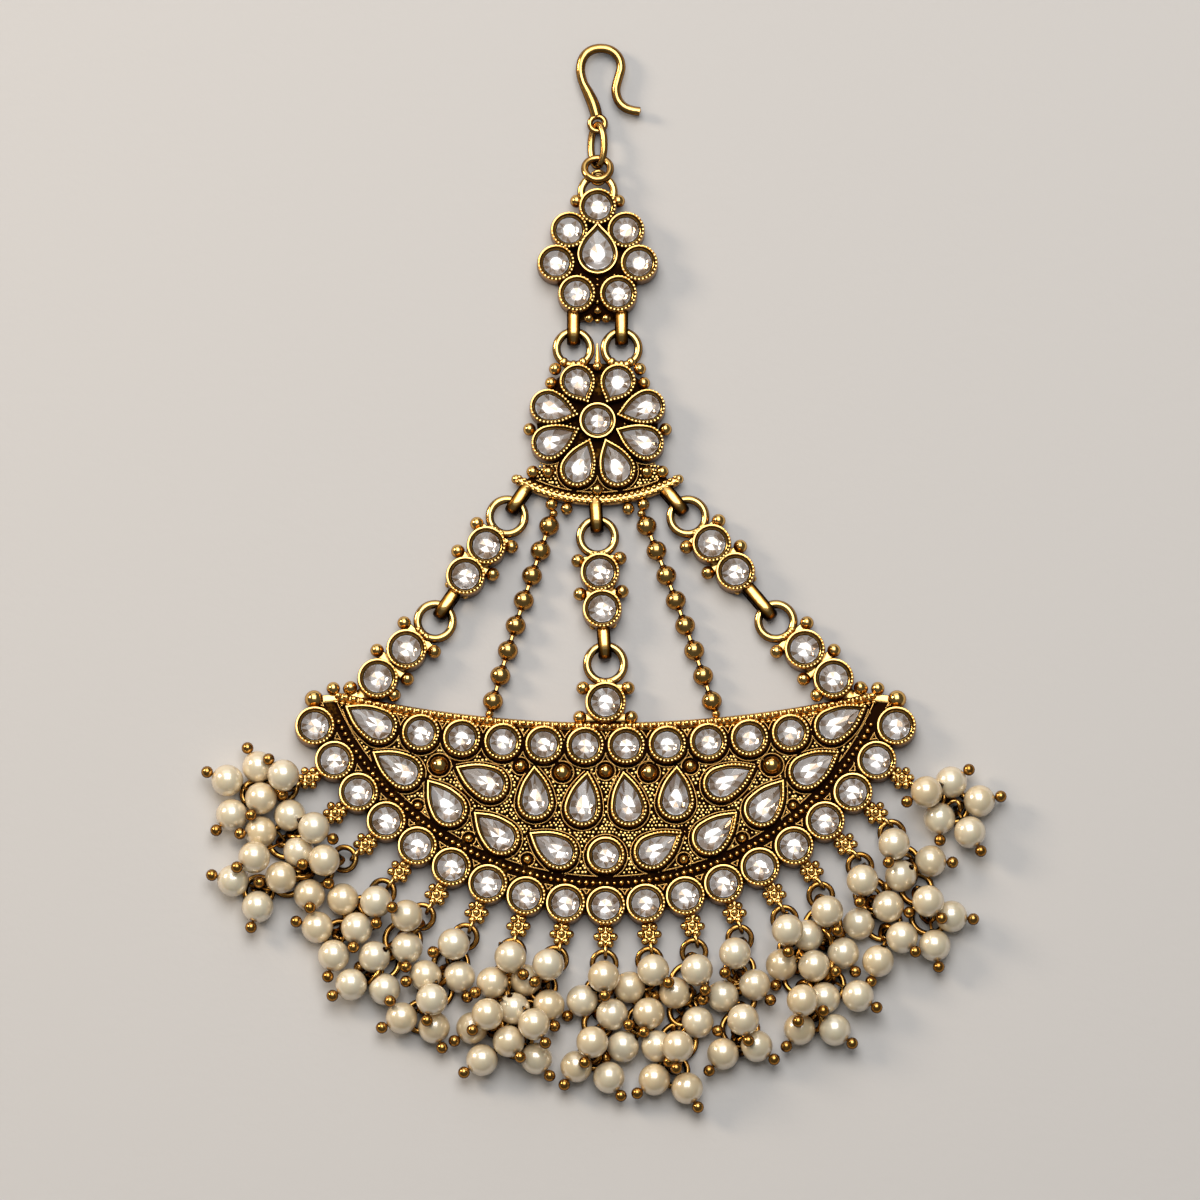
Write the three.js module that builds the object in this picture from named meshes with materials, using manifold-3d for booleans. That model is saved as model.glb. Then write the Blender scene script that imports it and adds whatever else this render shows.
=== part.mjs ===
// Jhoomar: a gold side hair ornament with crystals and pearls, lying on its back.
// Millimetres. +X runs across the piece, +Y towards its hook, and +Z out of its front.
// Everything is laid out about the centre of the crescent's outer arc, and moved at the end so that the
// origin is the middle of the footprint, on the surface that the piece lies on.
import * as THREE from 'three';
import { mergeVertices } from 'three/addons/utils/BufferGeometryUtils.js';
import Module from 'manifold-3d';

const wasm = await Module();
wasm.setup();

// ---- Driving dimensions ----

const CLEAR = 0.3; // running gap between linked pieces
const RIM_HEIGHT = 3.0; // a collet's rim over the back of its casting
const PLATE_HEIGHT = 1.3; // the ground between the collets
const LINK_HEIGHT = 1.25; // the middle of every flat ring and strap eye over the back
const SEAT_HEIGHT = 1.55; // the floor of a collet's bore
const FOOT_HEIGHT = 0.9; // where a collet that stands on a plate starts inside it
const EDGE_FOOT = 0.15; // where a collet that overhangs its plate starts

const COLLET = { rim: 2.35, base: 2.42, lip: 0.55, sides: 8 };
const PEAR = { belly: 2.3, lip: 0.55, arcSteps: 4 };
const STONE = { radius: 1.45, table: 0.95, bottom: 1.75, top: 2.75, sides: 8 };
const STRAP = { width: 1.45, wall: 0.4, steps: 3, drillSides: 8 };

// The crown and the rosette hang a little to the left of the crescent's middle line.
const UPPER_SHIFT = -1.0;

const HOOK = { wire: 1.1, eye: 1.15, eyeWire: 0.78, sides: 6, steps: 22 };
const HOOK_LINK = { half: 2.65, width: 1.05, wire: 0.6, tilt: -58, z: 1.25 };
const TOP_RING = { mid: 1.9, wire: 0.6, tilt: 47, z: 1.72 };
// How far the ring's middle stands over the crown's loop, how far the link's end dips into the ring, and how
// far the eye's middle stands over the link's end.
const HOOK_CHAIN = { ringOver: 2.65, linkInto: 1.15, eyeOver: 0.15 };

const CROWN = {
  y: 42.3, loopMid: 2.05, loopWire: 0.76, loopY: 8.1, belly: 2.6, tip: 4.2,
  eyeX: 3.0, eyeY: -9.75, eyeStem: 3.0,
};
// The soldered balls of the crown's right half, and the one at its foot, from its middle.
const CROWN_BALLS = [{ x: 2.6, y: 6.9, z: 1.5, radius: 0.85 }, { x: 1.1, y: -7.9, z: 1.2, radius: 0.65 }];
const CROWN_FOOT_BALL = { x: 0, y: -7.0, z: 1.3, radius: 0.6 };

const ROSETTE = {
  y: 21.1, ringX: 3.0, ringY: 9.4, ringMid: 2.05, ringWire: 1.05, tipRadius: 2.6, belly: 2.2, plate: 7.6,
};
// The spike between its two rings, the apron below its petals, and the lug under each ring.
const SPIKE = { fromY: 7, toY: 9.9, width: 0.9, bottom: 0.1, top: 1.8 };
const APRON = { fromY: -6, toY: -9.6, width: 15, bottom: 0.1, top: 1.2 };
const LUG = { from: [2.6, 6], to: [2.9, 7.6], width: 1.6, bottom: 0.3, top: 1.6 };
// The soldered balls of its right half, from its middle.
const ROSETTE_BALLS = [
  { x: 4.95, y: 6.15, radius: 0.85 },
  { x: 8.0, y: -0.45, radius: 0.8 },
  { x: 7.9, y: -6.8, radius: 0.8 },
  { x: 5.75, y: -10.1, radius: 0.8 },
  { x: 3.9, y: -10.6, radius: 0.8 },
];
const BALL_HEIGHT = 1.2; // the middle of a soldered ball over the back
// Each petal's turn from straight up and the radius that its belly's centre lies on.
const PETALS = [
  { turn: 27, bellyRadius: 5.6 },
  { turn: 74, bellyRadius: 6.5 },
  { turn: 115, bellyRadius: 6.7 },
  { turn: 158, bellyRadius: 6.7 },
];
const BAR = { halfWidth: 9.9, middleY: -9.95, radius: 20.5, thick: 1.2, height: 2.3 };

// The connectors' rings that hang in the rosette's strap eyes, from its middle, and the eyes' stems.
const ROSETTE_EYES = { stem: 2.4, ringX: 11.3, ringY: -12.0, centerRing: -14.6 };

const CONNECTOR = { ringMid: 2.2, ringWire: 1.03, pitch: 4.65, beadAcross: 2.45, bead: 0.87, end: 2.4 };
// Where a connector's bead pairs lie along it, in pitches, and the bar and the height of every bead pair.
const PAIR_PITCHES = [0.6, 1.56];
const PAIR = { width: 1.0, bottom: 0.6, top: 1.5, beadZ: 1.3 };
const SPINE = { width: 2.0, bottom: 0.15, top: 1.6 }; // the bar down the middle of a connector
const LOWER_RING = { x: 21.3, y: -4.2, turn: 44, mid: 2.2, wire: 1.05, pitch: 5.15, end: 14 };
// Its bead pairs, and its loose beads, as rows of along and across on the right half.
const LOWER_PAIRS = [[2.85, 2.5], [7.7, 2.5]];
const LOWER_BEADS = [[10.0, -2.9], [13.2, 1.6]];
const HORN_BALL = { x: 36.4, y: -14.1, radius: 1.2 };
const CENTER_RING = { y: -9.6, mid: 2.3, wire: 1.08, pitch: 5.0 };
const CENTER_PAIRS = [[3.1, 2.75], [6.9, 3.1]];

const CHAIN = {
  balls: 8, ball: 1.28, sides: 6, wire: 0.35, bow: 0.5,
  topX: 5.5, topY: -11.6, footX: 14.5, footOver: 1.7, rightShift: -0.7,
};

const ARC = { radius: 40.35, step: 7.12, collets: 19, plateRadius: 41.2 };
const TOP_EDGE = { radius: 148, middleY: -17.6, halfWidth: 33.4, thick: 1.2, height: 2.3 };
const TOP_ROW = { pitch: 5.13, middleY: -20.15, radius: 163, collets: 10 };
const HORN = { x: 36.6, y: -13.7 };

// The pears of the crescent's right half, from tip to the centre of the belly. The left half mirrors them.
const FIELD_PEARS = [
  { tipX: 32.6, tipY: -15.1, bellyX: 28.25, bellyY: -17.7 },
  { tipX: 29.2, tipY: -20.9, bellyX: 25.05, bellyY: -23.5 },
  { tipX: 22.3, tipY: -24.4, bellyX: 19.5, bellyY: -28.2 },
  { tipX: 18.8, tipY: -22.8, bellyX: 14.4, bellyY: -25.0 },
  { tipX: 8.9, tipY: -22.6, bellyX: 8.75, bellyY: -27.3 },
  { tipX: 2.2, tipY: -23.3, bellyX: 2.9, bellyY: -28.1 },
  { tipX: 16.5, tipY: -28.5, bellyX: 13.0, bellyY: -31.8 },
  { tipX: 9.6, tipY: -31.1, bellyX: 5.75, bellyY: -33.6 },
];
const FIELD_BEADS = [
  { x: 20.75, y: -22.5, radius: 1.2 },
  { x: 10.6, y: -22.6, radius: 0.8 },
  { x: 5.4, y: -23.4, radius: 1.1 },
];
const MIDDLE_BEAD = { y: -23.2, radius: 0.9 };
const MIDDLE_COLLET_Y = -34.0;

const CAP = {
  radius: 43.75, flower: 1.5, flowerFoot: 0.3, flowerTop: 1.9, eyeRadius: 45.9, eyeMid: 0.85, eyeWire: 0.5,
};

// ---- The pearl clusters ----

const PEARL = { radius: 2.0, facetRadius: 2.1, gap: 0.22, pin: 0.3, innerLimit: 45.1 };
const JUMP_RING = { mid: 1.35, wire: 0.5 };
const THREAD = { radius: 0.3, z: 0.45, start: 2.7, landing: 4.6, short: 2.6 };

// How each cluster lies, from left to right: its lean from straight down the piece in degrees, positive to
// the right, and how far its last pearl reaches.
const CLUSTERS = [
  { lean: -80, reach: 8.0, pearls: 5 },
  { lean: -64, reach: 8.0, pearls: 5 },
  { lean: -70, reach: 15.3, pearls: 5 },
  { lean: -44, reach: 11.8, pearls: 5 },
  { lean: -40, reach: 13.2, pearls: 5 },
  { lean: -29, reach: 14.3, pearls: 6 },
  { lean: -13, reach: 13.5, pearls: 6 },
  { lean: -25, reach: 14.8, pearls: 6 },
  { lean: -6, reach: 15.9, pearls: 6 },
  { lean: -8, reach: 12.2, pearls: 5 },
  { lean: -10, reach: 18.7, pearls: 6 },
  { lean: 0, reach: 16.2, pearls: 6 },
  { lean: 16, reach: 16.5, pearls: 6 },
  { lean: 4, reach: 14.6, pearls: 5 },
  { lean: 22, reach: 13.5, pearls: 5 },
  { lean: 24, reach: 15.4, pearls: 6 },
  { lean: 62, reach: 8.3, pearls: 5 },
];

// Where a cluster's pearls start: how far along its reach, how far to one side, and how high.
const HANGING = {
  5: [
    { along: 0.28, across: 0.6, z: 4.2 },
    { along: 0.52, across: -2.0, z: 2.0 },
    { along: 0.62, across: 2.0, z: 2.0 },
    { along: 0.9, across: -2.1, z: 2.0 },
    { along: 1.0, across: 2.1, z: 2.4 },
  ],
  6: [
    { along: 0.24, across: -0.6, z: 4.2 },
    { along: 0.45, across: 2.0, z: 2.0 },
    { along: 0.55, across: -2.0, z: 2.0 },
    { along: 0.76, across: 0.4, z: 4.6 },
    { along: 0.94, across: 2.1, z: 2.0 },
    { along: 1.0, across: -2.1, z: 2.0 },
  ],
};
const SETTLING = { rounds: 320, share: 0.45, pull: 0.012 };

// ---- Materials ----

const gold = new THREE.MeshStandardMaterial({ color: 0xb98a3c, roughness: 0.32, metalness: 1 });
const crystal = new THREE.MeshStandardMaterial({ color: 0xdedcdc, roughness: 0.05, metalness: 0.2 });
const pearl = new THREE.MeshStandardMaterial({ color: 0xefe6d6, roughness: 0.28, metalness: 0 });

// ---- Solids ----

const rad = THREE.MathUtils.degToRad;

// A closed solid from a geometry: corners merged, empty triangles dropped and faces turned outwards.
function solidOf(geometry) {
  const bare = new THREE.BufferGeometry();
  bare.setAttribute('position', geometry.getAttribute('position'));
  if (geometry.index) bare.setIndex(geometry.index);
  const welded = mergeVertices(bare, 1e-4);
  const points = welded.getAttribute('position');
  const corner = [new THREE.Vector3(), new THREE.Vector3(), new THREE.Vector3()];
  const kept = [];
  let volume = 0;
  for (let i = 0; i < welded.index.count; i += 3) {
    const [a, b, c] = [0, 1, 2].map((k) => welded.index.getX(i + k));
    if (a === b || b === c || c === a) continue;
    kept.push(a, b, c);
    corner.forEach((v, k) => v.fromBufferAttribute(points, [a, b, c][k]));
    volume += corner[0].dot(corner[1].cross(corner[2]));
  }
  const turned = volume < 0 ? kept.reverse() : kept;
  return new wasm.Manifold(new wasm.Mesh({
    numProp: 3,
    vertProperties: Float32Array.from(points.array),
    triVerts: Uint32Array.from(turned),
  }));
}

function joined(solids) {
  return solids.reduce((whole, next) => whole.add(next));
}

function meshOf(name, material, solid) {
  const { vertProperties, triVerts } = solid.getMesh();
  const geometry = new THREE.BufferGeometry();
  geometry.setAttribute('position', new THREE.BufferAttribute(Float32Array.from(vertProperties), 3));
  geometry.setIndex(new THREE.BufferAttribute(Uint32Array.from(triVerts), 1));
  const mesh = new THREE.Mesh(geometry, material);
  mesh.name = name;
  return mesh;
}

// A profile of [radius, height] points turned about the upright axis.
function turnedProfile(points, sides) {
  const profile = points.map(([r, h]) => new THREE.Vector2(r, h));
  return new THREE.LatheGeometry(profile, sides).rotateX(Math.PI / 2);
}

function ballAt(x, y, z, radius, sides = 5, rings = 4) {
  return solidOf(new THREE.SphereGeometry(radius, sides, rings).rotateX(Math.PI / 2).translate(x, y, z));
}

function rodBetween(from, to, radius, sides = 4) {
  const a = new THREE.Vector3(...from);
  const b = new THREE.Vector3(...to);
  const along = b.clone().sub(a);
  const rod = new THREE.CylinderGeometry(radius, radius, along.length(), sides);
  const turn = new THREE.Quaternion().setFromUnitVectors(new THREE.Vector3(0, 1, 0), along.normalize());
  const middle = a.add(b).multiplyScalar(0.5);
  return solidOf(rod.applyQuaternion(turn).translate(middle.x, middle.y, middle.z));
}

// A flat ring of round wire.
function ringAt(x, y, mid, wire, sides = 12, wireSides = 5, z = LINK_HEIGHT) {
  return solidOf(new THREE.TorusGeometry(mid, wire / 2, wireSides, sides).translate(x, y, z));
}

// A flat bar from one point to another, standing on the back of the casting.
function webBetween(from, to, width, bottom, top) {
  const [dx, dy] = [to[0] - from[0], to[1] - from[1]];
  const bar = new THREE.BoxGeometry(Math.hypot(dx, dy), width, top - bottom);
  return solidOf(bar.rotateZ(Math.atan2(dy, dx))
    .translate((from[0] + to[0]) / 2, (from[1] + to[1]) / 2, (bottom + top) / 2));
}

// A round collet: a tapered cup with a lip round its bore.
function colletAt(x, y, foot = FOOT_HEIGHT) {
  const bore = COLLET.rim - COLLET.lip;
  const cup = turnedProfile([
    [0, foot], [COLLET.base, foot], [COLLET.rim, RIM_HEIGHT],
    [bore, RIM_HEIGHT], [bore, SEAT_HEIGHT], [0, SEAT_HEIGHT],
  ], COLLET.sides);
  return solidOf(cup.translate(x, y, 0));
}

// A pear's outline: a round belly, and two straight sides from it that meet at the tip.
function pearShape(tip, belly, radius) {
  const reach = Math.hypot(tip[0] - belly[0], tip[1] - belly[1]);
  const aim = Math.atan2(tip[1] - belly[1], tip[0] - belly[0]);
  const touch = Math.acos(radius / reach);
  const shape = new THREE.Shape();
  shape.moveTo(...tip);
  shape.absarc(belly[0], belly[1], radius, aim + touch, aim + 2 * Math.PI - touch, false);
  shape.closePath();
  return shape;
}

// The same outline drawn in by a lip of even width, which is a scaling about the belly's centre.
function innerPear(tip, belly, radius, lip) {
  const scale = (radius - lip) / radius;
  const inner = [0, 1].map((k) => belly[k] + (tip[k] - belly[k]) * scale);
  return pearShape(inner, belly, radius - lip);
}

function slab(shape, bottom, top, arcSteps = PEAR.arcSteps) {
  const slabGeometry = new THREE.ExtrudeGeometry(shape, {
    depth: top - bottom, bevelEnabled: false, curveSegments: arcSteps,
  });
  return solidOf(slabGeometry.translate(0, 0, bottom));
}

function pearCollet(tip, belly, radius, foot = FOOT_HEIGHT) {
  const body = slab(pearShape(tip, belly, radius), foot, RIM_HEIGHT);
  return body.subtract(slab(innerPear(tip, belly, radius, PEAR.lip), SEAT_HEIGHT, RIM_HEIGHT + 1));
}

function roundStone(name, x, y) {
  const cut = turnedProfile([
    [0, STONE.bottom], [STONE.radius, STONE.bottom], [STONE.table, STONE.top], [0, STONE.top],
  ], STONE.sides);
  return meshOf(name, crystal, solidOf(cut.translate(x, y, 0)));
}

function pearStone(name, tip, belly, radius) {
  const shape = innerPear(tip, belly, radius, PEAR.lip + CLEAR);
  return meshOf(name, crystal, slab(shape, STONE.bottom, STONE.top, 4));
}

// A circle's points, each one once, so that the outline closes on itself.
function circlePoints(radius, count) {
  return Array.from({ length: count }, (_, i) => (
    new THREE.Vector2(radius, 0).rotateAround(new THREE.Vector2(), (2 * Math.PI * i) / count)));
}

// A strap eye: a flat band that runs down from a casting, with a round hole across it at its end that a
// ring's wire passes through. It points along turn, in degrees from straight down.
function strapEye(x, y, wire, stem, turn = 0) {
  const hole = wire / 2 + CLEAR;
  const outer = hole + STRAP.wall;
  const band = new THREE.Shape();
  band.moveTo(stem, outer);
  band.absarc(0, 0, outer, Math.PI / 2, Math.PI * 1.5, false);
  band.lineTo(stem, -outer);
  band.closePath();
  // The outline's first axis runs up the piece, its second one out of the front, and its depth across.
  const across = new THREE.Matrix4().makeBasis(
    new THREE.Vector3(0, 1, 0), new THREE.Vector3(0, 0, 1), new THREE.Vector3(1, 0, 0));
  const stand = (geometry) => solidOf(
    geometry.applyMatrix4(across).rotateZ(rad(turn)).translate(x, y, LINK_HEIGHT));
  const depth = (shape, width) => new THREE.ExtrudeGeometry(shape, {
    depth: width, bevelEnabled: false, curveSegments: STRAP.steps,
  }).translate(0, 0, -width / 2);
  const drill = new THREE.Shape(circlePoints(hole / Math.cos(Math.PI / STRAP.drillSides), STRAP.drillSides));
  return stand(depth(band, STRAP.width)).subtract(stand(depth(drill, STRAP.width + 1)));
}

// An arched bar of even width that bulges down the piece.
function archedBar(x, middleY, radius, halfWidth, thick, height, steps) {
  const half = Math.asin(halfWidth / radius);
  const shape = new THREE.Shape();
  const centerY = middleY + radius;
  shape.absarc(x, centerY, radius + thick / 2, -Math.PI / 2 - half, -Math.PI / 2 + half, false);
  shape.absarc(x, centerY, radius - thick / 2, -Math.PI / 2 + half, -Math.PI / 2 - half, true);
  shape.closePath();
  return slab(shape, EDGE_FOOT, height, steps);
}

// What one half has, for the left and for the right.
const mirrored = (make) => [-1, 1].flatMap(make);

// ---- Hook and links ----

const crownX = UPPER_SHIFT;
const loopTop = CROWN.y + CROWN.loopY;
const topRingY = loopTop + HOOK_CHAIN.ringOver;
const linkY = topRingY + TOP_RING.mid + HOOK_LINK.half - HOOK_CHAIN.linkInto;
const eyeY = linkY + HOOK_LINK.half + HOOK_CHAIN.eyeOver;

// The hook's middle line, from its eye up one side, over the bend and down to its blunt end, about the eye.
function hookPath() {
  const points = [
    [0, 1.0], [-0.5, 2.6], [-1.1, 3.9], [-1.9, 5.3], [-2.05, 7.0], [-1.3, 8.7], [0.35, 9.7], [2.0, 8.8],
    [2.95, 7.0], [2.85, 5.3], [2.3, 3.8], [2.6, 2.6], [3.6, 1.95], [5.3, 1.6],
  ];
  return new THREE.CatmullRomCurve3(
    points.map(([x, y]) => new THREE.Vector3(x, y, 0)), false, 'centripetal');
}

function hookMesh() {
  const section = new THREE.Shape(circlePoints(HOOK.wire / 2, HOOK.sides));
  const wire = new THREE.ExtrudeGeometry(section, {
    steps: HOOK.steps, extrudePath: hookPath(), bevelEnabled: false,
  });
  const eye = new THREE.TorusGeometry(HOOK.eye, HOOK.eyeWire / 2, 5, 10);
  const whole = [wire, eye].map((piece) => solidOf(piece.translate(crownX, eyeY, LINK_HEIGHT)));
  return meshOf('hook', gold, joined(whole));
}

// A link with two straight sides and round ends, tilted about the way that the chain runs.
function hookLinkMesh() {
  const straight = HOOK_LINK.half - HOOK_LINK.width;
  const points = [];
  for (const [end, from] of [[1, Math.PI], [-1, 0]]) {
    for (let k = 0; k <= 4; k += 1) {
      const angle = from - (k * Math.PI) / 4;
      points.push(new THREE.Vector3(
        HOOK_LINK.width * Math.cos(angle), end * straight + HOOK_LINK.width * Math.sin(angle), 0));
    }
  }
  const loop = new THREE.CatmullRomCurve3(points, true, 'centripetal');
  return meshOf('hook_link', gold, solidOf(closedTube(loop, HOOK_LINK.wire / 2, 14, 5)
    .rotateY(rad(HOOK_LINK.tilt)).translate(crownX, linkY, HOOK_LINK.z)));
}

// A tube of round wire round a closed flat curve, with no ends.
function closedTube(curve, radius, steps, sides) {
  const position = [];
  const index = [];
  const up = new THREE.Vector3(0, 0, 1);
  for (let i = 0; i < steps; i += 1) {
    const center = curve.getPoint(i / steps);
    const out = curve.getTangent(i / steps).cross(up).normalize();
    for (let j = 0; j < sides; j += 1) {
      const angle = (2 * Math.PI * j) / sides;
      const point = center.clone()
        .addScaledVector(out, radius * Math.cos(angle)).addScaledVector(up, radius * Math.sin(angle));
      position.push(point.x, point.y, point.z);
      const [a, b] = [i * sides + j, i * sides + ((j + 1) % sides)];
      const [c, d] = [((i + 1) % steps) * sides + j, ((i + 1) % steps) * sides + ((j + 1) % sides)];
      index.push(a, b, d, a, d, c);
    }
  }
  const geometry = new THREE.BufferGeometry();
  geometry.setAttribute('position', new THREE.Float32BufferAttribute(position, 3));
  geometry.setIndex(index);
  return geometry;
}

function topRingMesh() {
  const ring = new THREE.TorusGeometry(TOP_RING.mid, TOP_RING.wire / 2, 5, 12);
  return meshOf('top_ring', gold,
    solidOf(ring.rotateY(rad(TOP_RING.tilt)).translate(crownX, topRingY, TOP_RING.z)));
}

// ---- Crown and rosette ----

// The crown's seven round collets about its pear, clockwise from the top.
const CROWN_COLLETS = [
  { x: 0, y: 6.1 }, { x: 3.55, y: 3.1 }, { x: 5.2, y: -1.1 }, { x: 2.6, y: -5.0 },
  { x: -2.6, y: -5.0 }, { x: -5.2, y: -1.1 }, { x: -3.55, y: 3.1 },
];

// The ground of the crown: a blunt pointed oval that its collets overhang.
function crownPlate(at) {
  const outline = [[0, 7.4], [4.6, 3.6], [6.2, -1.2], [3.6, -6.6], [2.2, -8.3]];
  const left = outline.slice(1).reverse().map(([x, y]) => [-x, y]);
  const corners = [...outline, ...left].map(([x, y]) => new THREE.Vector2(...at(x, y)));
  return slab(new THREE.Shape(corners), 0, PLATE_HEIGHT);
}

// The half ring that stands on the top collet's wall and stops short of its bore.
function crownLoop(at) {
  const ring = ringAt(...at(0, CROWN.loopY), CROWN.loopMid, CROWN.loopWire, 12, 5, TOP_RING.z);
  return ring.subtract(webBetween(at(0, 4), at(0, 7.2), 8, 0, RIM_HEIGHT));
}

function crownParts() {
  const at = (x, y) => [crownX + x, CROWN.y + y];
  const eyeOf = (side) => {
    const [x, y] = at(side * CROWN.eyeX, CROWN.eyeY);
    return strapEye(x, y, ROSETTE.ringWire, CROWN.eyeStem);
  };
  const [pearTip, pearBelly] = [at(0, CROWN.tip), at(0, 0)];
  const body = [
    crownPlate(at),
    pearCollet(pearTip, pearBelly, CROWN.belly),
    ...CROWN_COLLETS.map(({ x, y }) => colletAt(...at(x, y), EDGE_FOOT)),
    crownLoop(at),
    ...mirrored((side) => [
      eyeOf(side), ...CROWN_BALLS.map(({ x, y, z, radius }) => ballAt(...at(side * x, y), z, radius))]),
    ballAt(...at(CROWN_FOOT_BALL.x, CROWN_FOOT_BALL.y), CROWN_FOOT_BALL.z, CROWN_FOOT_BALL.radius),
  ];
  const stones = CROWN_COLLETS.map(({ x, y }, i) => roundStone(`crown_stone_${i + 1}`, ...at(x, y)));
  return [
    meshOf('crown', gold, joined(body)),
    pearStone('crown_stone_pear', pearTip, pearBelly, CROWN.belly),
    ...stones,
  ];
}

const rosetteX = UPPER_SHIFT;
const rosetteAt = (x, y) => [rosetteX + x, ROSETTE.y + y];

function petalEnds({ turn, bellyRadius }, side) {
  const [sx, sy] = [side * Math.sin(rad(turn)), Math.cos(rad(turn))];
  return [ROSETTE.tipRadius, bellyRadius].map((r) => rosetteAt(sx * r, sy * r));
}

function rosetteParts(connectorTurns) {
  const petals = mirrored((side) => PETALS.map((row) => petalEnds(row, side)));
  const eyeOver = (ring, turn) => strapEye(
    ring[0] - Math.sin(rad(turn)) * CONNECTOR.ringMid, ring[1] + Math.cos(rad(turn)) * CONNECTOR.ringMid,
    CONNECTOR.ringWire, ROSETTE_EYES.stem, turn);
  const body = [
    colletAt(...rosetteAt(0, 0)),
    ...petals.map(([tip, belly]) => pearCollet(tip, belly, ROSETTE.belly, EDGE_FOOT)),
    solidOf(turnedProfile([[0, 0], [ROSETTE.plate, 0], [ROSETTE.plate, PLATE_HEIGHT], [0, PLATE_HEIGHT]], 12)
      .translate(...rosetteAt(0, 0), 0)),
    archedBar(rosetteX, ROSETTE.y + BAR.middleY, BAR.radius, BAR.halfWidth, BAR.thick, BAR.height, 6),
    ...[SPIKE, APRON].map(({ fromY, toY, width, bottom, top }) => (
      webBetween(rosetteAt(0, fromY), rosetteAt(0, toY), width, bottom, top))),
    eyeOver(rosetteAt(0, ROSETTE_EYES.centerRing), connectorTurns[0]),
    ...mirrored((side) => [
      ringAt(...rosetteAt(side * ROSETTE.ringX, ROSETTE.ringY), ROSETTE.ringMid, ROSETTE.ringWire),
      webBetween(rosetteAt(side * LUG.from[0], LUG.from[1]), rosetteAt(side * LUG.to[0], LUG.to[1]),
        LUG.width, LUG.bottom, LUG.top),
      eyeOver(rosetteAt(side * ROSETTE_EYES.ringX, ROSETTE_EYES.ringY), connectorTurns[side]),
      ...ROSETTE_BALLS.map(({ x, y, radius }) => ballAt(...rosetteAt(side * x, y), BALL_HEIGHT, radius)),
    ]),
  ];
  const pears = petals.map(([tip, belly], i) => (
    pearStone(`rosette_stone_pear_${i + 1}`, tip, belly, ROSETTE.belly)));
  return [
    meshOf('rosette', gold, joined(body)), roundStone('rosette_stone_round', ...rosetteAt(0, 0)), ...pears,
  ];
}

// ---- The three connectors ----

// A bead on each side of a connector's middle line, on the bar that carries them.
function beadPair(place, along, across) {
  const ends = [-across, across].map((offset) => place(along, offset));
  return [
    webBetween(ends[0], ends[1], PAIR.width, PAIR.bottom, PAIR.top),
    ...ends.map(([x, y]) => ballAt(x, y, PAIR.beadZ, CONNECTOR.bead)),
  ];
}

const spineBetween = (from, to) => webBetween(from, to, SPINE.width, SPINE.bottom, SPINE.top);

// Each runs from the rosette's strap eye down to a ring of the crescent.
function connectorParts(name, top, turn, span, eyeWire) {
  const place = (along, across) => {
    const [s, c] = [Math.sin(rad(turn)), Math.cos(rad(turn))];
    return [top[0] + s * along + c * across, top[1] - c * along + s * across];
  };
  const collets = [1, 2].map((k) => place(k * CONNECTOR.pitch, 0));
  const end = CONNECTOR.end * CONNECTOR.pitch;
  const body = [
    ringAt(...place(0, 0), CONNECTOR.ringMid, CONNECTOR.ringWire),
    ...collets.map(([x, y]) => colletAt(x, y, 0)),
    spineBetween(place(CONNECTOR.ringMid, 0), place(end, 0)),
    ...PAIR_PITCHES.flatMap((k) => beadPair(place, k * CONNECTOR.pitch, CONNECTOR.beadAcross)),
    strapEye(...place(span, 0), eyeWire, span - end, turn),
  ];
  const stones = collets.map(([x, y], i) => roundStone(`${name}_stone_${i + 1}`, x, y));
  return [meshOf(name, gold, joined(body)), ...stones];
}

// ---- Ball chains ----

// A short string of balls on wire links from the rosette's bar to the crescent's edge.
function chainMesh(name, side) {
  const start = new THREE.Vector3(rosetteX + side * CHAIN.topX, ROSETTE.y + CHAIN.topY, CHAIN.ball);
  const end = new THREE.Vector3(
    side * CHAIN.footX + (side > 0 ? CHAIN.rightShift : 0), TOP_EDGE.middleY + CHAIN.footOver, CHAIN.ball);
  const middle = start.clone().lerp(end, 0.5).add(new THREE.Vector3(side * CHAIN.bow, 0, 0));
  const route = new THREE.QuadraticBezierCurve3(start, middle, end);
  const centers = Array.from({ length: CHAIN.balls }, (_, i) => route.getPointAt((i + 0.5) / CHAIN.balls));
  const stops = [start, ...centers, end];
  const solids = [
    ...centers.map((p) => ballAt(p.x, p.y, p.z, CHAIN.ball, CHAIN.sides, 4)),
    ...stops.slice(1).map((p, i) => rodBetween(stops[i].toArray(), p.toArray(), CHAIN.wire, 3)),
  ];
  return meshOf(name, gold, joined(solids));
}

// ---- The crescent ----

const arcPoint = (degrees, radius) => [radius * Math.sin(rad(degrees)), -radius * Math.cos(rad(degrees))];
const outerTurns = Array.from({ length: ARC.collets }, (_, i) => (i - (ARC.collets - 1) / 2) * ARC.step);
const capTurns = outerTurns.slice(1, -1);

function crescentPlate() {
  const plate = new THREE.Shape();
  const edgeHalf = Math.asin(TOP_EDGE.halfWidth / TOP_EDGE.radius);
  const plateHalf = rad(outerTurns.at(-1) + 2);
  plate.absarc(0, 0, ARC.plateRadius, -Math.PI / 2 - plateHalf, -Math.PI / 2 + plateHalf, false);
  plate.lineTo(HORN.x, HORN.y);
  plate.absarc(0, TOP_EDGE.middleY + TOP_EDGE.radius, TOP_EDGE.radius,
    -Math.PI / 2 + edgeHalf, -Math.PI / 2 - edgeHalf, true);
  plate.lineTo(-HORN.x, HORN.y);
  plate.closePath();
  return slab(plate, 0, PLATE_HEIGHT, 10);
}

function topRowCenters() {
  return Array.from({ length: TOP_ROW.collets }, (_, i) => {
    const x = (i - (TOP_ROW.collets - 1) / 2) * TOP_ROW.pitch;
    return [x, TOP_ROW.middleY + (x * x) / (2 * TOP_ROW.radius)];
  });
}

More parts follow.
